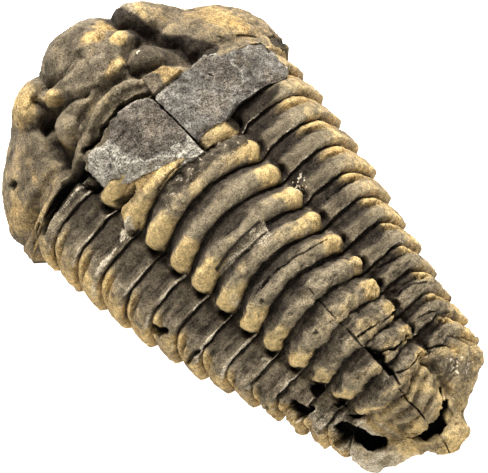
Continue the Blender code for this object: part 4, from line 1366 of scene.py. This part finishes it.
def name_piece(name):
    """The object that was just made, with its name."""
    piece = bpy.context.object
    piece.name = name
    piece.data.name = name
    return piece


def corners_of(piece):
    places = np.empty(len(piece.data.vertices) * 3)
    piece.data.vertices.foreach_get("co", places)
    return places.reshape(-1, 3)


def lay_tint(piece, tint, values):
    layer = piece.data.attributes.new(tint, "FLOAT", "POINT")
    layer.data.foreach_set("value", values)


def lay_grid(name, points, tints):
    """A grid primitive with its corners moved to the rows of points."""
    rows, columns = points.shape[:2]
    let_go()
    bpy.ops.mesh.primitive_grid_add(x_subdivisions=columns - 1, y_subdivisions=rows - 1, size=1)
    piece = name_piece(name)
    places = corners_of(piece)
    order = np.lexsort((places[:, 0], -np.round(places[:, 1], 6)))
    places[order] = (points.reshape(-1, 3) - np.array(BODY_CENTRE)) * MM
    piece.data.vertices.foreach_set("co", places.ravel())
    for tint, values in tints.items():
        placed = np.empty(len(places))
        placed[order] = np.clip(values, 0, 1).ravel()
        lay_tint(piece, tint, placed)
    piece.data.update()
    return piece


def edit_open_edge(piece):
    bpy.context.view_layer.objects.active = piece
    bpy.ops.object.mode_set(mode="EDIT")
    bpy.ops.mesh.select_mode(type="EDGE")
    bpy.ops.mesh.select_all(action="DESELECT")
    bpy.ops.mesh.select_non_manifold()


def finish_faces():
    bpy.ops.mesh.select_all(action="SELECT")
    bpy.ops.mesh.normals_make_consistent(inside=False)
    bpy.ops.object.mode_set(mode="OBJECT")


def close_to_floor(piece):
    """Carry the skin's open edge down to the floor and fill the flat underside."""
    edit_open_edge(piece)
    bpy.ops.mesh.extrude_region_move(TRANSFORM_OT_translate={"value": (0, 0, 0)})
    bpy.ops.transform.resize(value=(FOOT_WIDTH, FOOT_LENGTH, 0), center_override=(0, 0, 0))
    bpy.ops.mesh.edge_face_add()
    finish_faces()


def weather(piece, size, depth, above=0.0):
    """Raise fine grain on all that lies above a height, by a modifier that is applied."""
    group = piece.vertex_groups.new(name="weathered")
    chosen = np.nonzero(corners_of(piece)[:, 2] > above * MM)[0]
    group.add(chosen.tolist(), 1.0, "REPLACE")
    grain = bpy.data.textures.new(piece.name + " grain", "CLOUDS")
    grain.noise_scale = size * MM
    grain.noise_depth = 2
    rough = piece.modifiers.new("grain", "DISPLACE")
    rough.texture = grain
    rough.texture_coords = "LOCAL"
    rough.vertex_group = group.name
    rough.strength = depth * MM
    rough.mid_level = 0.5
    let_go()
    bpy.context.view_layer.objects.active = piece
    piece.select_set(True)
    bpy.ops.object.modifier_apply(modifier=rough.name)
    bpy.ops.object.shade_smooth_by_angle(angle=SHARP_ANGLE)


def hand_over(piece, material):
    """The finished piece takes its stone and stands for the solid."""
    piece.data.materials.clear()
    piece.data.materials.append(material)
    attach(piece, "root")
    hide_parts("trilobite")


def slab_edge(slab, name, x):
    places = np.array(slab[name])
    return np.interp(x, places[:, 0], places[:, 1])


def sink_under_slabs(points):
    """Heights of the skin, kept below the rock slabs that lie over it."""
    x, y, z = points[..., 0], points[..., 1], points[..., 2]
    for slab in (LEFT_SLAB, RIGHT_SLAB):
        edge = np.minimum(slab_edge(slab, "front", x) - y, y - slab_edge(slab, "back", x))
        edge = np.minimum(edge, np.minimum(x - slab["front"][0][0], slab["front"][-1][0] - x))
        below = curve(SLAB_TOP, np.abs(x)) - SLAB_COVER
        z = np.where(edge > SLAB_COVER_IN, np.minimum(z, below), z)
    return z


def slab_plan(slab, column, row):
    """Plan of a rock slab with ragged sides, and how far in from each side its cells lie."""
    wide, long = slab["cells"]
    share = np.clip(column / wide, 0, 1)
    down = np.clip(row / long, 0, 1)
    edges = []
    for name in ("front", "back"):
        knots = np.linspace(0, 1, len(slab[name]))
        edges.append([np.interp(share, knots, [place[axis] for place in slab[name]]) for axis in (0, 1)])
    front, back = edges
    x = front[0] * (1 - down) + back[0] * down
    y = front[1] * (1 - down) + back[1] * down
    near_end = ease(SLAB_TORN_FROM, 0, np.minimum(share, 1 - share)) + 0 * row
    near_side = ease(SLAB_TORN_FROM, 0, np.minimum(down, 1 - down)) + 0 * column
    seeded = np.stack([x, y, 0 * x + slab["seed"]], axis=2)
    torn = SLAB_TORN * ragged(seeded, SLAB_TORN_LUMP, slab["seed"])
    x = x + torn * near_end * np.where(column > wide / 2, 1, -1) * slab["end_noise"]
    y = y + torn * near_side * np.where(row < long / 2, 1, -1)
    length = front[1] - back[1]
    width = front[0][-1] - front[0][0]
    inward = {
        "front": down * length,
        "back": (1 - down) * length,
        "left": share * width + 0 * row,
        "right": (1 - share) * width + 0 * row,
    }
    return np.stack([x, y, 0 * x], axis=2), inward


def slab_relief(slab, flat, inward, wobble, level):
    """Height of a slab's top over its rest: rough, with a raised plate and worn-off sides."""
    fringe = 0 * level
    for name, (reach, depth) in slab["fringe"].items():
        fringe = np.maximum(fringe, depth * (1 - ease(0, reach, inward[name] + wobble * reach)))
    broad, narrow = SLAB_RELIEF
    broad_lump, narrow_lump = SLAB_RELIEF_LUMPS
    relief = broad * ragged(flat, broad_lump, slab["seed"] + BROAD_SEED)
    relief = relief + narrow * ragged(flat, narrow_lump, slab["seed"] + NARROW_SEED)
    return relief + slab["plate_high"] * level - fringe, fringe


def slab_skin(slab):
    """Top and broken sides of a rock slab, draped over the rings."""
    wide, long = slab["cells"]
    column = np.arange(-WALL_CELLS, wide + WALL_CELLS + 1)
    row = np.arange(-WALL_CELLS, long + WALL_CELLS + 1)[:, None]
    flat, inward = slab_plan(slab, column, row)
    wobble = SLAB_WOBBLE * ragged(flat, SLAB_WOBBLE_LUMP, slab["seed"] + WOBBLE_SEED)
    level = ease(*PLATE_EDGE, inside(flat, slab["plate"]) + PLATE_TORN * wobble)
    relief, fringe = slab_relief(slab, flat, inward, wobble, level)
    broken = slab["plate_pale"] * level + slab["rest_pale"] * (1 - level) + FRINGE_PALE * fringe
    broken = np.clip(broken, 0, 1)
    void_shade = 0 * broken
    torn = CRACK_TORN * clumps(flat, *CRACK_NOISE)
    # Cracks in the slab are painted black inside as their shade
    for half_width, depth, line in slab["cracks"]:
        mark = crack_share(flat, torn, half_width, line)
        relief = relief - depth * mark
        void_shade = np.maximum(void_shade, mark)
    torn = VEIN_TORN * clumps(flat, *VEIN_NOISE)
    for line in slab["veins"]:
        broken = np.maximum(broken, VEIN_PALE * ease(*VEIN_EDGE, np.abs(line_distance(flat, line) + torn)))
    steps = {
        "front": np.clip(-row, 0, None) + 0 * column,
        "back": np.clip(row - long, 0, None) + 0 * column,
        "left": np.clip(-column, 0, None) + 0 * row,
        "right": np.clip(column - wide, 0, None) + 0 * row,
    }
    drop = np.maximum.reduce(list(steps.values())) / WALL_CELLS
    z = curve(SLAB_TOP, np.abs(flat[..., 0])) + relief - slab["thick"] * drop
    for name, sign, axis in (("left", -1, 0), ("right", 1, 0), ("front", 1, 1), ("back", -1, 1)):
        flat[..., axis] += sign * slab["lean"][name] * (steps[name] / WALL_CELLS) ** WALL_CURVE
    points = np.stack([flat[..., 0], flat[..., 1], z], axis=2)
    strength, corners = slab["dark_brown"]
    brown = strength * ease(*SLAB_STAIN_EDGE, inside(flat, corners) + SLAB_STAIN_TORN * wobble)
    broken = broken * (1 - WALL_DULL * ease(0, WALL_DULL_FROM, drop))
    return points, {"broken": broken, "void_shade": void_shade, "brown": brown}


def build_slab(name, slab):
    points, tints = slab_skin(slab)
    piece = lay_grid(name, points, tints)
    edit_open_edge(piece)
    bpy.ops.mesh.extrude_region_move(TRANSFORM_OT_translate={"value": (0, 0, -SLAB_FOOT * MM)})
    bpy.ops.mesh.edge_face_add()
    finish_faces()
    for size, depth in SLAB_GRAINS:
        weather(piece, size, depth)
    return piece


def build_chip():
    """A small angular chip of stone on the ring behind the head, half grey and half ochre."""
    let_go()
    bpy.ops.mesh.primitive_cube_add(size=1)
    chip = name_piece("neck_chip")
    for corner in chip.data.vertices:
        hand, ahead, above = (int(value > 0) for value in corner.co)
        x, y, z = CHIP_CORNERS[hand, ahead]
        z = z - CHIP_THICK * (1 - above)
        corner.co = (Vector((x, y, z)) - Vector(BODY_CENTRE)) * MM
    bevel = chip.modifiers.new("worn edges", "BEVEL")
    bevel.width = CHIP_WORN * MM
    bevel.segments = 2
    bpy.ops.object.modifier_apply(modifier=bevel.name)
    bpy.ops.object.mode_set(mode="EDIT")
    bpy.ops.mesh.select_all(action="SELECT")
    bpy.ops.mesh.subdivide(number_cuts=CHIP_CUTS)
    finish_faces()
    for size, depth in CHIP_GRAINS:
        weather(chip, size, depth)
    points = corners_of(chip)[None] / MM + np.array(BODY_CENTRE)
    across, along = points[0, :, 0], points[0, :, 1]
    torn = CHIP_OCHRE_TORN * clumps(points, *CHIP_NOISE)[0]
    ochre = ease(*CHIP_OCHRE_EDGE, across - CHIP_OCHRE_FROM + torn)
    front = ease(CHIP_FRONT, 0, CHIP_CORNERS[0, 1][1] - along)
    lay_tint(chip, "ochre", CHIP_OCHRE * ochre)
    lay_tint(chip, "dark", CHIP_DARK * (1 - ochre))
    lay_tint(chip, "pale", CHIP_PALE * front)
    for tint in ("void_shade", "worn_and_highlight"):
        lay_tint(chip, tint, 0 * ochre)
    return chip


class Bench:
    """Short names for laying out the nodes of a material or group."""

    def __init__(self, tree):
        self.tree = tree

    def node(self, kind, **settings):
        made = self.tree.nodes.new(kind)
        for name, value in settings.items():
            setattr(made, name, value)
        return made

    def feed(self, socket, value):
        if isinstance(value, bpy.types.NodeSocket):
            self.tree.links.new(value, socket)
        else:
            socket.default_value = value

    def mask(self, name):
        made = self.node("ShaderNodeAttribute", attribute_name=name, attribute_type="GEOMETRY")
        return made.outputs["Fac"]

    def noise(self, where, scale, detail=3.0, rough=0.6, warp=0.0):
        made = self.node("ShaderNodeTexNoise", noise_dimensions="3D")
        self.feed(made.inputs["Vector"], where)
        self.feed(made.inputs["Scale"], scale)
        made.inputs["Detail"].default_value = detail
        made.inputs["Roughness"].default_value = rough
        made.inputs["Distortion"].default_value = warp
        return made.outputs["Fac"]

    def maths(self, operation, *values):
        made = self.node("ShaderNodeMath", operation=operation)
        for socket, value in zip(made.inputs, values):
            self.feed(socket, value)
        return made.outputs["Value"]

    def step(self, value, low, high, to_low=0.0, to_high=1.0):
        made = self.node("ShaderNodeMapRange", interpolation_type="SMOOTHSTEP")
        for socket, given in zip(made.inputs, (value, low, high, to_low, to_high)):
            self.feed(socket, given)
        return made.outputs["Result"]

    def mix(self, share, first, second, blend="MIX"):
        """Colours blended. Their sockets go by number, because the names repeat for other kinds."""
        made = self.node("ShaderNodeMix", data_type="RGBA", blend_type=blend)
        self.feed(made.inputs["Factor"], share)
        self.feed(made.inputs[6], first)
        self.feed(made.inputs[7], second)
        return made.outputs[2]

    def torn_mask(self, name, noise, swing):
        """A mask of the skin with its edge made ragged by a noise."""
        return self.maths("ADD", self.mask(name), self.maths("MULTIPLY_ADD", noise, swing, -swing / 2))


# Grain of the stones: noises as (scale, detail, roughness), spans as (from, to)
FINE_NOISE = (2.0, 0.7)
FINE_SHARE = 0.6
COARSE_NOISE = (1700.0, 4.0, 0.7)
COARSE_SHARE = 0.4
CONTRAST_SWING = 4.0
DARKEST_TONE = 0.25
BRIGHT_SCALE = 2600.0
BRIGHT_DOT = (0.16, 0.08)
BRIGHT_NOISE = (700.0, 2.0)
BRIGHT_SPARSE = (0.58, 0.7)
STONE_SHEEN = 0.12

# Colours of the fossil shell, in pairs from dark to light
# Chalk, also the colour of the painted highlight on edges
CHALK_AND_HIGHLIGHT = (0.66, 0.56, 0.4, 1)
SHELL_GREY = ((0.085, 0.066, 0.042, 1), (0.24, 0.19, 0.125, 1))
SHELL_OCHRE = ((0.26, 0.16, 0.058, 1), (0.6, 0.42, 0.175, 1))
# Dark brown for stains and for painted shade
SHELL_STAIN_AND_SHADE = ((0.018, 0.013, 0.009, 1), (0.055, 0.042, 0.029, 1))
RUBBED_GREY = (0.36, 0.29, 0.175, 1)
# Rubbed ochre, also the painted highlight on the left ends of the rings
RUBBED_OCHRE_AND_HIGHLIGHT = (0.9, 0.66, 0.3, 1)
RUBBED_OCHRE_SHARE = 0.9
RUBBED_SMOOTHER = -0.45
RUBBED_SPAN = (0.2, 0.75, 0.45, 1.0)
RUST = (0.56, 0.32, 0.085, 1)
RUST_SPAN = (0.48, 0.72, 0.0, 0.5)
MOTTLE_NOISE = (420.0, 4.0, 0.6, 0.4)
BLOTCH_NOISE = (1300.0, 4.0, 0.65, 0.3)
GREY_SPAN = (0.35, 0.65)
OCHRE_SPAN = (0.3, 0.7)
OCHRE_TORN = (0.5, 0.6, -0.55)
OCHRE_EDGE = (0.08, 0.85)
DARK_TORN = 0.5
DARK_EDGE = (0.1, 1.0)
PALE_TORN = 1.2
PALE_EDGE = (0.2, 0.75)
SHELL_GRAIN = (6500.0, 1.5)
SHELL_ROUGHNESS = (0.2, 0.8, 0.75, 0.95)
# The void colour is black painted shade inside hollows and cracks
SHELL_FINISH = {"speck share": 0.6, "speck": CHALK_AND_HIGHLIGHT, "void_shade": (0.004, 0.003, 0.002, 1), "pitting": 0.45}

# Colours of the grey rock, in pairs from dark to light
SLAB_GREY = ((0.065, 0.055, 0.044, 1), (0.225, 0.203, 0.17, 1))
SLAB_GREY_SPAN = (0.36, 0.66)
SLAB_DIRT = ((0.062, 0.049, 0.037, 1), (0.165, 0.135, 0.103, 1))
SLAB_DIRT_SPAN = (0.32, 0.68)
SLAB_NOISE = (400.0, 6.0, 0.7, 0.5)
SLAB_WARM = (0.19, 0.14, 0.085, 1)
SLAB_WARM_NOISE = (240.0, 3.0, 0.6)
SLAB_WARM_SPAN = (0.5, 0.7)
SLAB_WARM_SHARE = 0.35
BROKEN_ROCK = (0.44, 0.395, 0.315, 1)
BROKEN_TORN = 1.2
BROKEN_EDGE = (0.15, 0.95)
SLAB_GRAIN = (6000.0, 2.0)
SLAB_ROUGHNESS = (0.2, 0.8, 0.82, 0.96)
# The void colour is black painted shade inside cracks
SLAB_FINISH = {
    "speck share": 0.7, "speck": (0.6, 0.58, 0.52, 1), "void_shade": (0.01, 0.008, 0.006, 1), "pitting": 0.4,
}


def grain_group():
    """Fine speckle and pitting that every stone here has: a tone around 1 and a height."""
    group = bpy.data.node_groups.new("stone grain", "ShaderNodeTree")
    sockets = {"Speck Scale": "INPUT", "Contrast": "INPUT", "Tone": "OUTPUT", "Height": "OUTPUT"}
    sockets["Bright Speck"] = "OUTPUT"
    for name, in_out in sockets.items():
        group.interface.new_socket(name=name, in_out=in_out, socket_type="NodeSocketFloat")
    bench = Bench(group)
    given = bench.node("NodeGroupInput").outputs
    result = bench.node("NodeGroupOutput").inputs
    where = bench.node("ShaderNodeTexCoord").outputs["Object"]
    fine = bench.noise(where, given["Speck Scale"], *FINE_NOISE)
    coarse = bench.noise(where, *COARSE_NOISE)
    height = bench.maths("MULTIPLY_ADD", fine, FINE_SHARE, bench.maths("MULTIPLY", coarse, COARSE_SHARE))
    centred = bench.maths("SUBTRACT", height, 0.5)
    swing = bench.maths("MULTIPLY", centred, bench.maths("MULTIPLY", given["Contrast"], CONTRAST_SWING))
    tone = bench.maths("MAXIMUM", bench.maths("ADD", swing, 1.0), DARKEST_TONE)
    bench.feed(result["Tone"], tone)
    bench.feed(result["Height"], height)
    cells = bench.node("ShaderNodeTexVoronoi", feature="F1")
    bench.feed(cells.inputs["Vector"], where)
    cells.inputs["Scale"].default_value = BRIGHT_SCALE
    dots = bench.step(cells.outputs["Distance"], *BRIGHT_DOT)
    sparse = bench.step(bench.noise(where, *BRIGHT_NOISE), *BRIGHT_SPARSE)
    bench.feed(result["Bright Speck"], bench.maths("MULTIPLY", dots, sparse))
    return group


def stone_base(name, grain, scale, contrast):
    """A new stone with its bench, shader, place on the object and grain."""
    material = bpy.data.materials.new(name)
    material.use_nodes = True
    shader = material.node_tree.nodes["Principled BSDF"]
    shader.inputs["Specular IOR Level"].default_value = STONE_SHEEN
    bench = Bench(material.node_tree)
    where = bench.node("ShaderNodeTexCoord").outputs["Object"]
    grains = bench.node("ShaderNodeGroup", node_tree=grain)
    grains.inputs["Speck Scale"].default_value = scale
    grains.inputs["Contrast"].default_value = contrast
    return material, bench, shader, where, grains.outputs


def finish_stone(bench, shader, colour, grains, finish, grit=1.0):
    """Grain, bright specks, black painted shade in the voids and pitting over a stone's colour."""
    toned = bench.mix(grit, colour, grains["Tone"], "MULTIPLY")
    specks = bench.maths("MULTIPLY", grains["Bright Speck"], finish["speck share"])
    toned = bench.mix(specks, toned, finish["speck"])
    # Black painted shade inside hollows and cracks
    toned = bench.mix(bench.mask("void_shade"), toned, finish["void_shade"])
    bench.feed(shader.inputs["Base Color"], toned)
    bump = bench.node("ShaderNodeBump")
    bump.inputs["Distance"].default_value = finish["pitting"] * MM
    bench.feed(bump.inputs["Height"], grains["Height"])
    bench.feed(shader.inputs["Normal"], bump.outputs["Normal"])


def shell_stone(grain):
    """Grey-brown fossil shell with ochre, dark stain and painted shade, chalk with a painted edge
    highlight, and black painted shade in the voids, by the skin's tints.
    """
    material, bench, shader, where, grains = stone_base("fossil shell stone", grain, *SHELL_GRAIN)
    mottle = bench.noise(where, *MOTTLE_NOISE)
    blotch = bench.noise(where, *BLOTCH_NOISE)
    grey = bench.mix(bench.step(mottle, *GREY_SPAN), *SHELL_GREY)
    yellow = bench.mix(bench.step(blotch, *OCHRE_SPAN), *SHELL_OCHRE)
    # Dark brown that the dark mask lays for stains and for painted shade
    dark_brown = bench.mix(bench.step(blotch, *GREY_SPAN), *SHELL_STAIN_AND_SHADE)
    by_mottle, by_blotch, level = OCHRE_TORN
    torn = bench.maths("MULTIPLY_ADD", blotch, by_blotch, level)
    torn = bench.maths("MULTIPLY_ADD", mottle, by_mottle, torn)
    ochre = bench.maths("ADD", bench.mask("ochre"), torn)
    # Rubbed places turn paler, on the left ends of the rings partly a painted highlight
    rubbed_and_highlight = bench.maths("MULTIPLY", bench.mask("worn_and_highlight"), bench.step(blotch, *RUBBED_SPAN))
    grey = bench.mix(rubbed_and_highlight, grey, RUBBED_GREY)
    yellow = bench.mix(bench.step(mottle, *RUST_SPAN), yellow, RUST)
    yellow = bench.mix(bench.maths("MULTIPLY", rubbed_and_highlight, RUBBED_OCHRE_SHARE), yellow, RUBBED_OCHRE_AND_HIGHLIGHT)
    colour = bench.mix(bench.step(ochre, *OCHRE_EDGE), grey, yellow)
    dark = bench.torn_mask("dark", blotch, DARK_TORN)
    colour = bench.mix(bench.step(dark, *DARK_EDGE), colour, dark_brown)
    pale = bench.torn_mask("pale", grains["Height"], PALE_TORN)
    colour = bench.mix(bench.step(pale, *PALE_EDGE), colour, CHALK_AND_HIGHLIGHT)
    grit = bench.maths("MULTIPLY_ADD", rubbed_and_highlight, RUBBED_SMOOTHER, 1.0)
    finish_stone(bench, shader, colour, grains, SHELL_FINISH, grit)
    bench.feed(shader.inputs["Roughness"], bench.step(blotch, *SHELL_ROUGHNESS))
    return material


def slab_stone(grain):
    """Cool grey rock with pale broken edges."""
    material, bench, shader, where, grains = stone_base("grey rock", grain, *SLAB_GRAIN)
    mottle = bench.noise(where, *SLAB_NOISE)
    grey = bench.mix(bench.step(mottle, *SLAB_GREY_SPAN), *SLAB_GREY)
    dirt = bench.mix(bench.step(mottle, *SLAB_DIRT_SPAN), *SLAB_DIRT)
    grey = bench.mix(bench.mask("brown"), grey, dirt)
    warm = bench.step(bench.noise(where, *SLAB_WARM_NOISE), *SLAB_WARM_SPAN)
    grey = bench.mix(bench.maths("MULTIPLY", warm, SLAB_WARM_SHARE), grey, SLAB_WARM)
    broken = bench.torn_mask("broken", mottle, BROKEN_TORN)
    colour = bench.mix(bench.step(broken, *BROKEN_EDGE), grey, BROKEN_ROCK)
    finish_stone(bench, shader, colour, grains, SLAB_FINISH)
    bench.feed(shader.inputs["Roughness"], bench.step(mottle, *SLAB_ROUGHNESS))
    return material


# The stage: lights as (name, place, size, power), in metres and watts
FLOOR_SIZE = 1.2
FLOOR_GLOW = 1.1
PAPER = (0.93, 0.93, 0.93, 1)
PAPER_ROUGHNESS = 0.9
SKY = 0.36
LIGHTS = (
    ("key", (0.15, 0.19, 0.25), 0.14, 2.6),
    ("fill", (-0.25, -0.15, 0.25), 0.3, 0.4),
)
CAMERA_PITCH = 16
CAMERA_TARGET = (0, 0.9, 8)
CAMERA_FAR = 0.246
CAMERA_LENS = 170
CAMERA_SENSOR = 36
CAMERA_NEAR = 0.01


def set_floor():
    """White paper under the fossil."""
    let_go()
    bpy.ops.mesh.primitive_plane_add(size=FLOOR_SIZE, location=(0, 0, 0))
    floor = bpy.context.object
    floor.name = "floor"
    paper = bpy.data.materials.new("white paper")
    paper.use_nodes = True
    shader = paper.node_tree.nodes["Principled BSDF"]
    shader.inputs["Base Color"].default_value = PAPER
    shader.inputs["Roughness"].default_value = PAPER_ROUGHNESS
    shader.inputs["Specular IOR Level"].default_value = 0.0
    shader.inputs["Emission Color"].default_value = (1, 1, 1, 1)
    shader.inputs["Emission Strength"].default_value = FLOOR_GLOW
    floor.data.materials.append(paper)


def set_lights():
    """Soft light from ahead of the right shoulder, a weak fill from behind, and an even sky."""
    scene = bpy.context.scene
    world = bpy.data.worlds.new("studio")
    scene.world = world
    world.use_nodes = True
    world.node_tree.nodes["Background"].inputs["Color"].default_value = (1, 1, 1, 1)
    world.node_tree.nodes["Background"].inputs["Strength"].default_value = SKY
    for name, place, size, power in LIGHTS:
        light = bpy.data.lights.new(name, "AREA")
        light.size = size
        light.energy = power
        lamp = bpy.data.objects.new(name, light)
        scene.collection.objects.link(lamp)
        lamp.location = place
        lamp.rotation_euler = (-Vector(place)).to_track_quat("-Z", "Y").to_euler()
    scene.view_settings.view_transform = "Standard"


def set_camera():
    """The camera looks down from a little behind the tail, turned so that the head is at the top left."""
    pitch = math.radians(CAMERA_PITCH)
    forward = Vector((0, math.sin(pitch), -math.cos(pitch)))
    back_up = Vector((0, math.cos(pitch), math.sin(pitch)))
    right = (Vector((1, 0, 0)) - back_up).normalized()
    up = (Vector((1, 0, 0)) + back_up).normalized()
    stand = Matrix((right, up, -forward)).transposed().to_4x4()
    target = (Vector(CAMERA_TARGET) - Vector(BODY_CENTRE)) * MM
    stand.translation = target - forward * CAMERA_FAR
    camera = bpy.data.objects.new("camera", bpy.data.cameras.new("camera"))
    camera.data.sensor_width = CAMERA_SENSOR
    camera.data.lens = CAMERA_LENS
    camera.data.clip_start = CAMERA_NEAR
    camera.matrix_world = stand
    bpy.context.scene.collection.objects.link(camera)
    bpy.context.scene.camera = camera


def main():
    points, tints, neck, waist = build_skin()
    grain = grain_group()
    shell = shell_stone(grain)
    rock = slab_stone(grain)
    middle = neck + SEGMENT_ROWS * FRONT_SEGMENTS - int(round(FIRST_PLACE * SEGMENT_ROWS)) - 1
    cuts = (0, neck - 1, middle, waist - 1, len(points) - 1)
    for name, first, last in zip(("head", "front_rings", "back_rings", "tail"), cuts, cuts[1:]):
        rows = slice(first, last + 1)
        piece = lay_grid(name, points[rows], {tint: values[rows] for tint, values in tints.items()})
        close_to_floor(piece)
        grains = HEAD_GRAINS if name == "head" else SHELL_GRAINS
        for size, depth in grains:
            weather(piece, size, depth, GRAIN_FROM)
        hand_over(piece, shell)
    for name, slab in (("left_slab", LEFT_SLAB), ("right_slab", RIGHT_SLAB)):
        hand_over(build_slab(name, slab), rock)
    hand_over(build_chip(), shell)
    set_floor()
    set_lights()
    set_camera()


main()
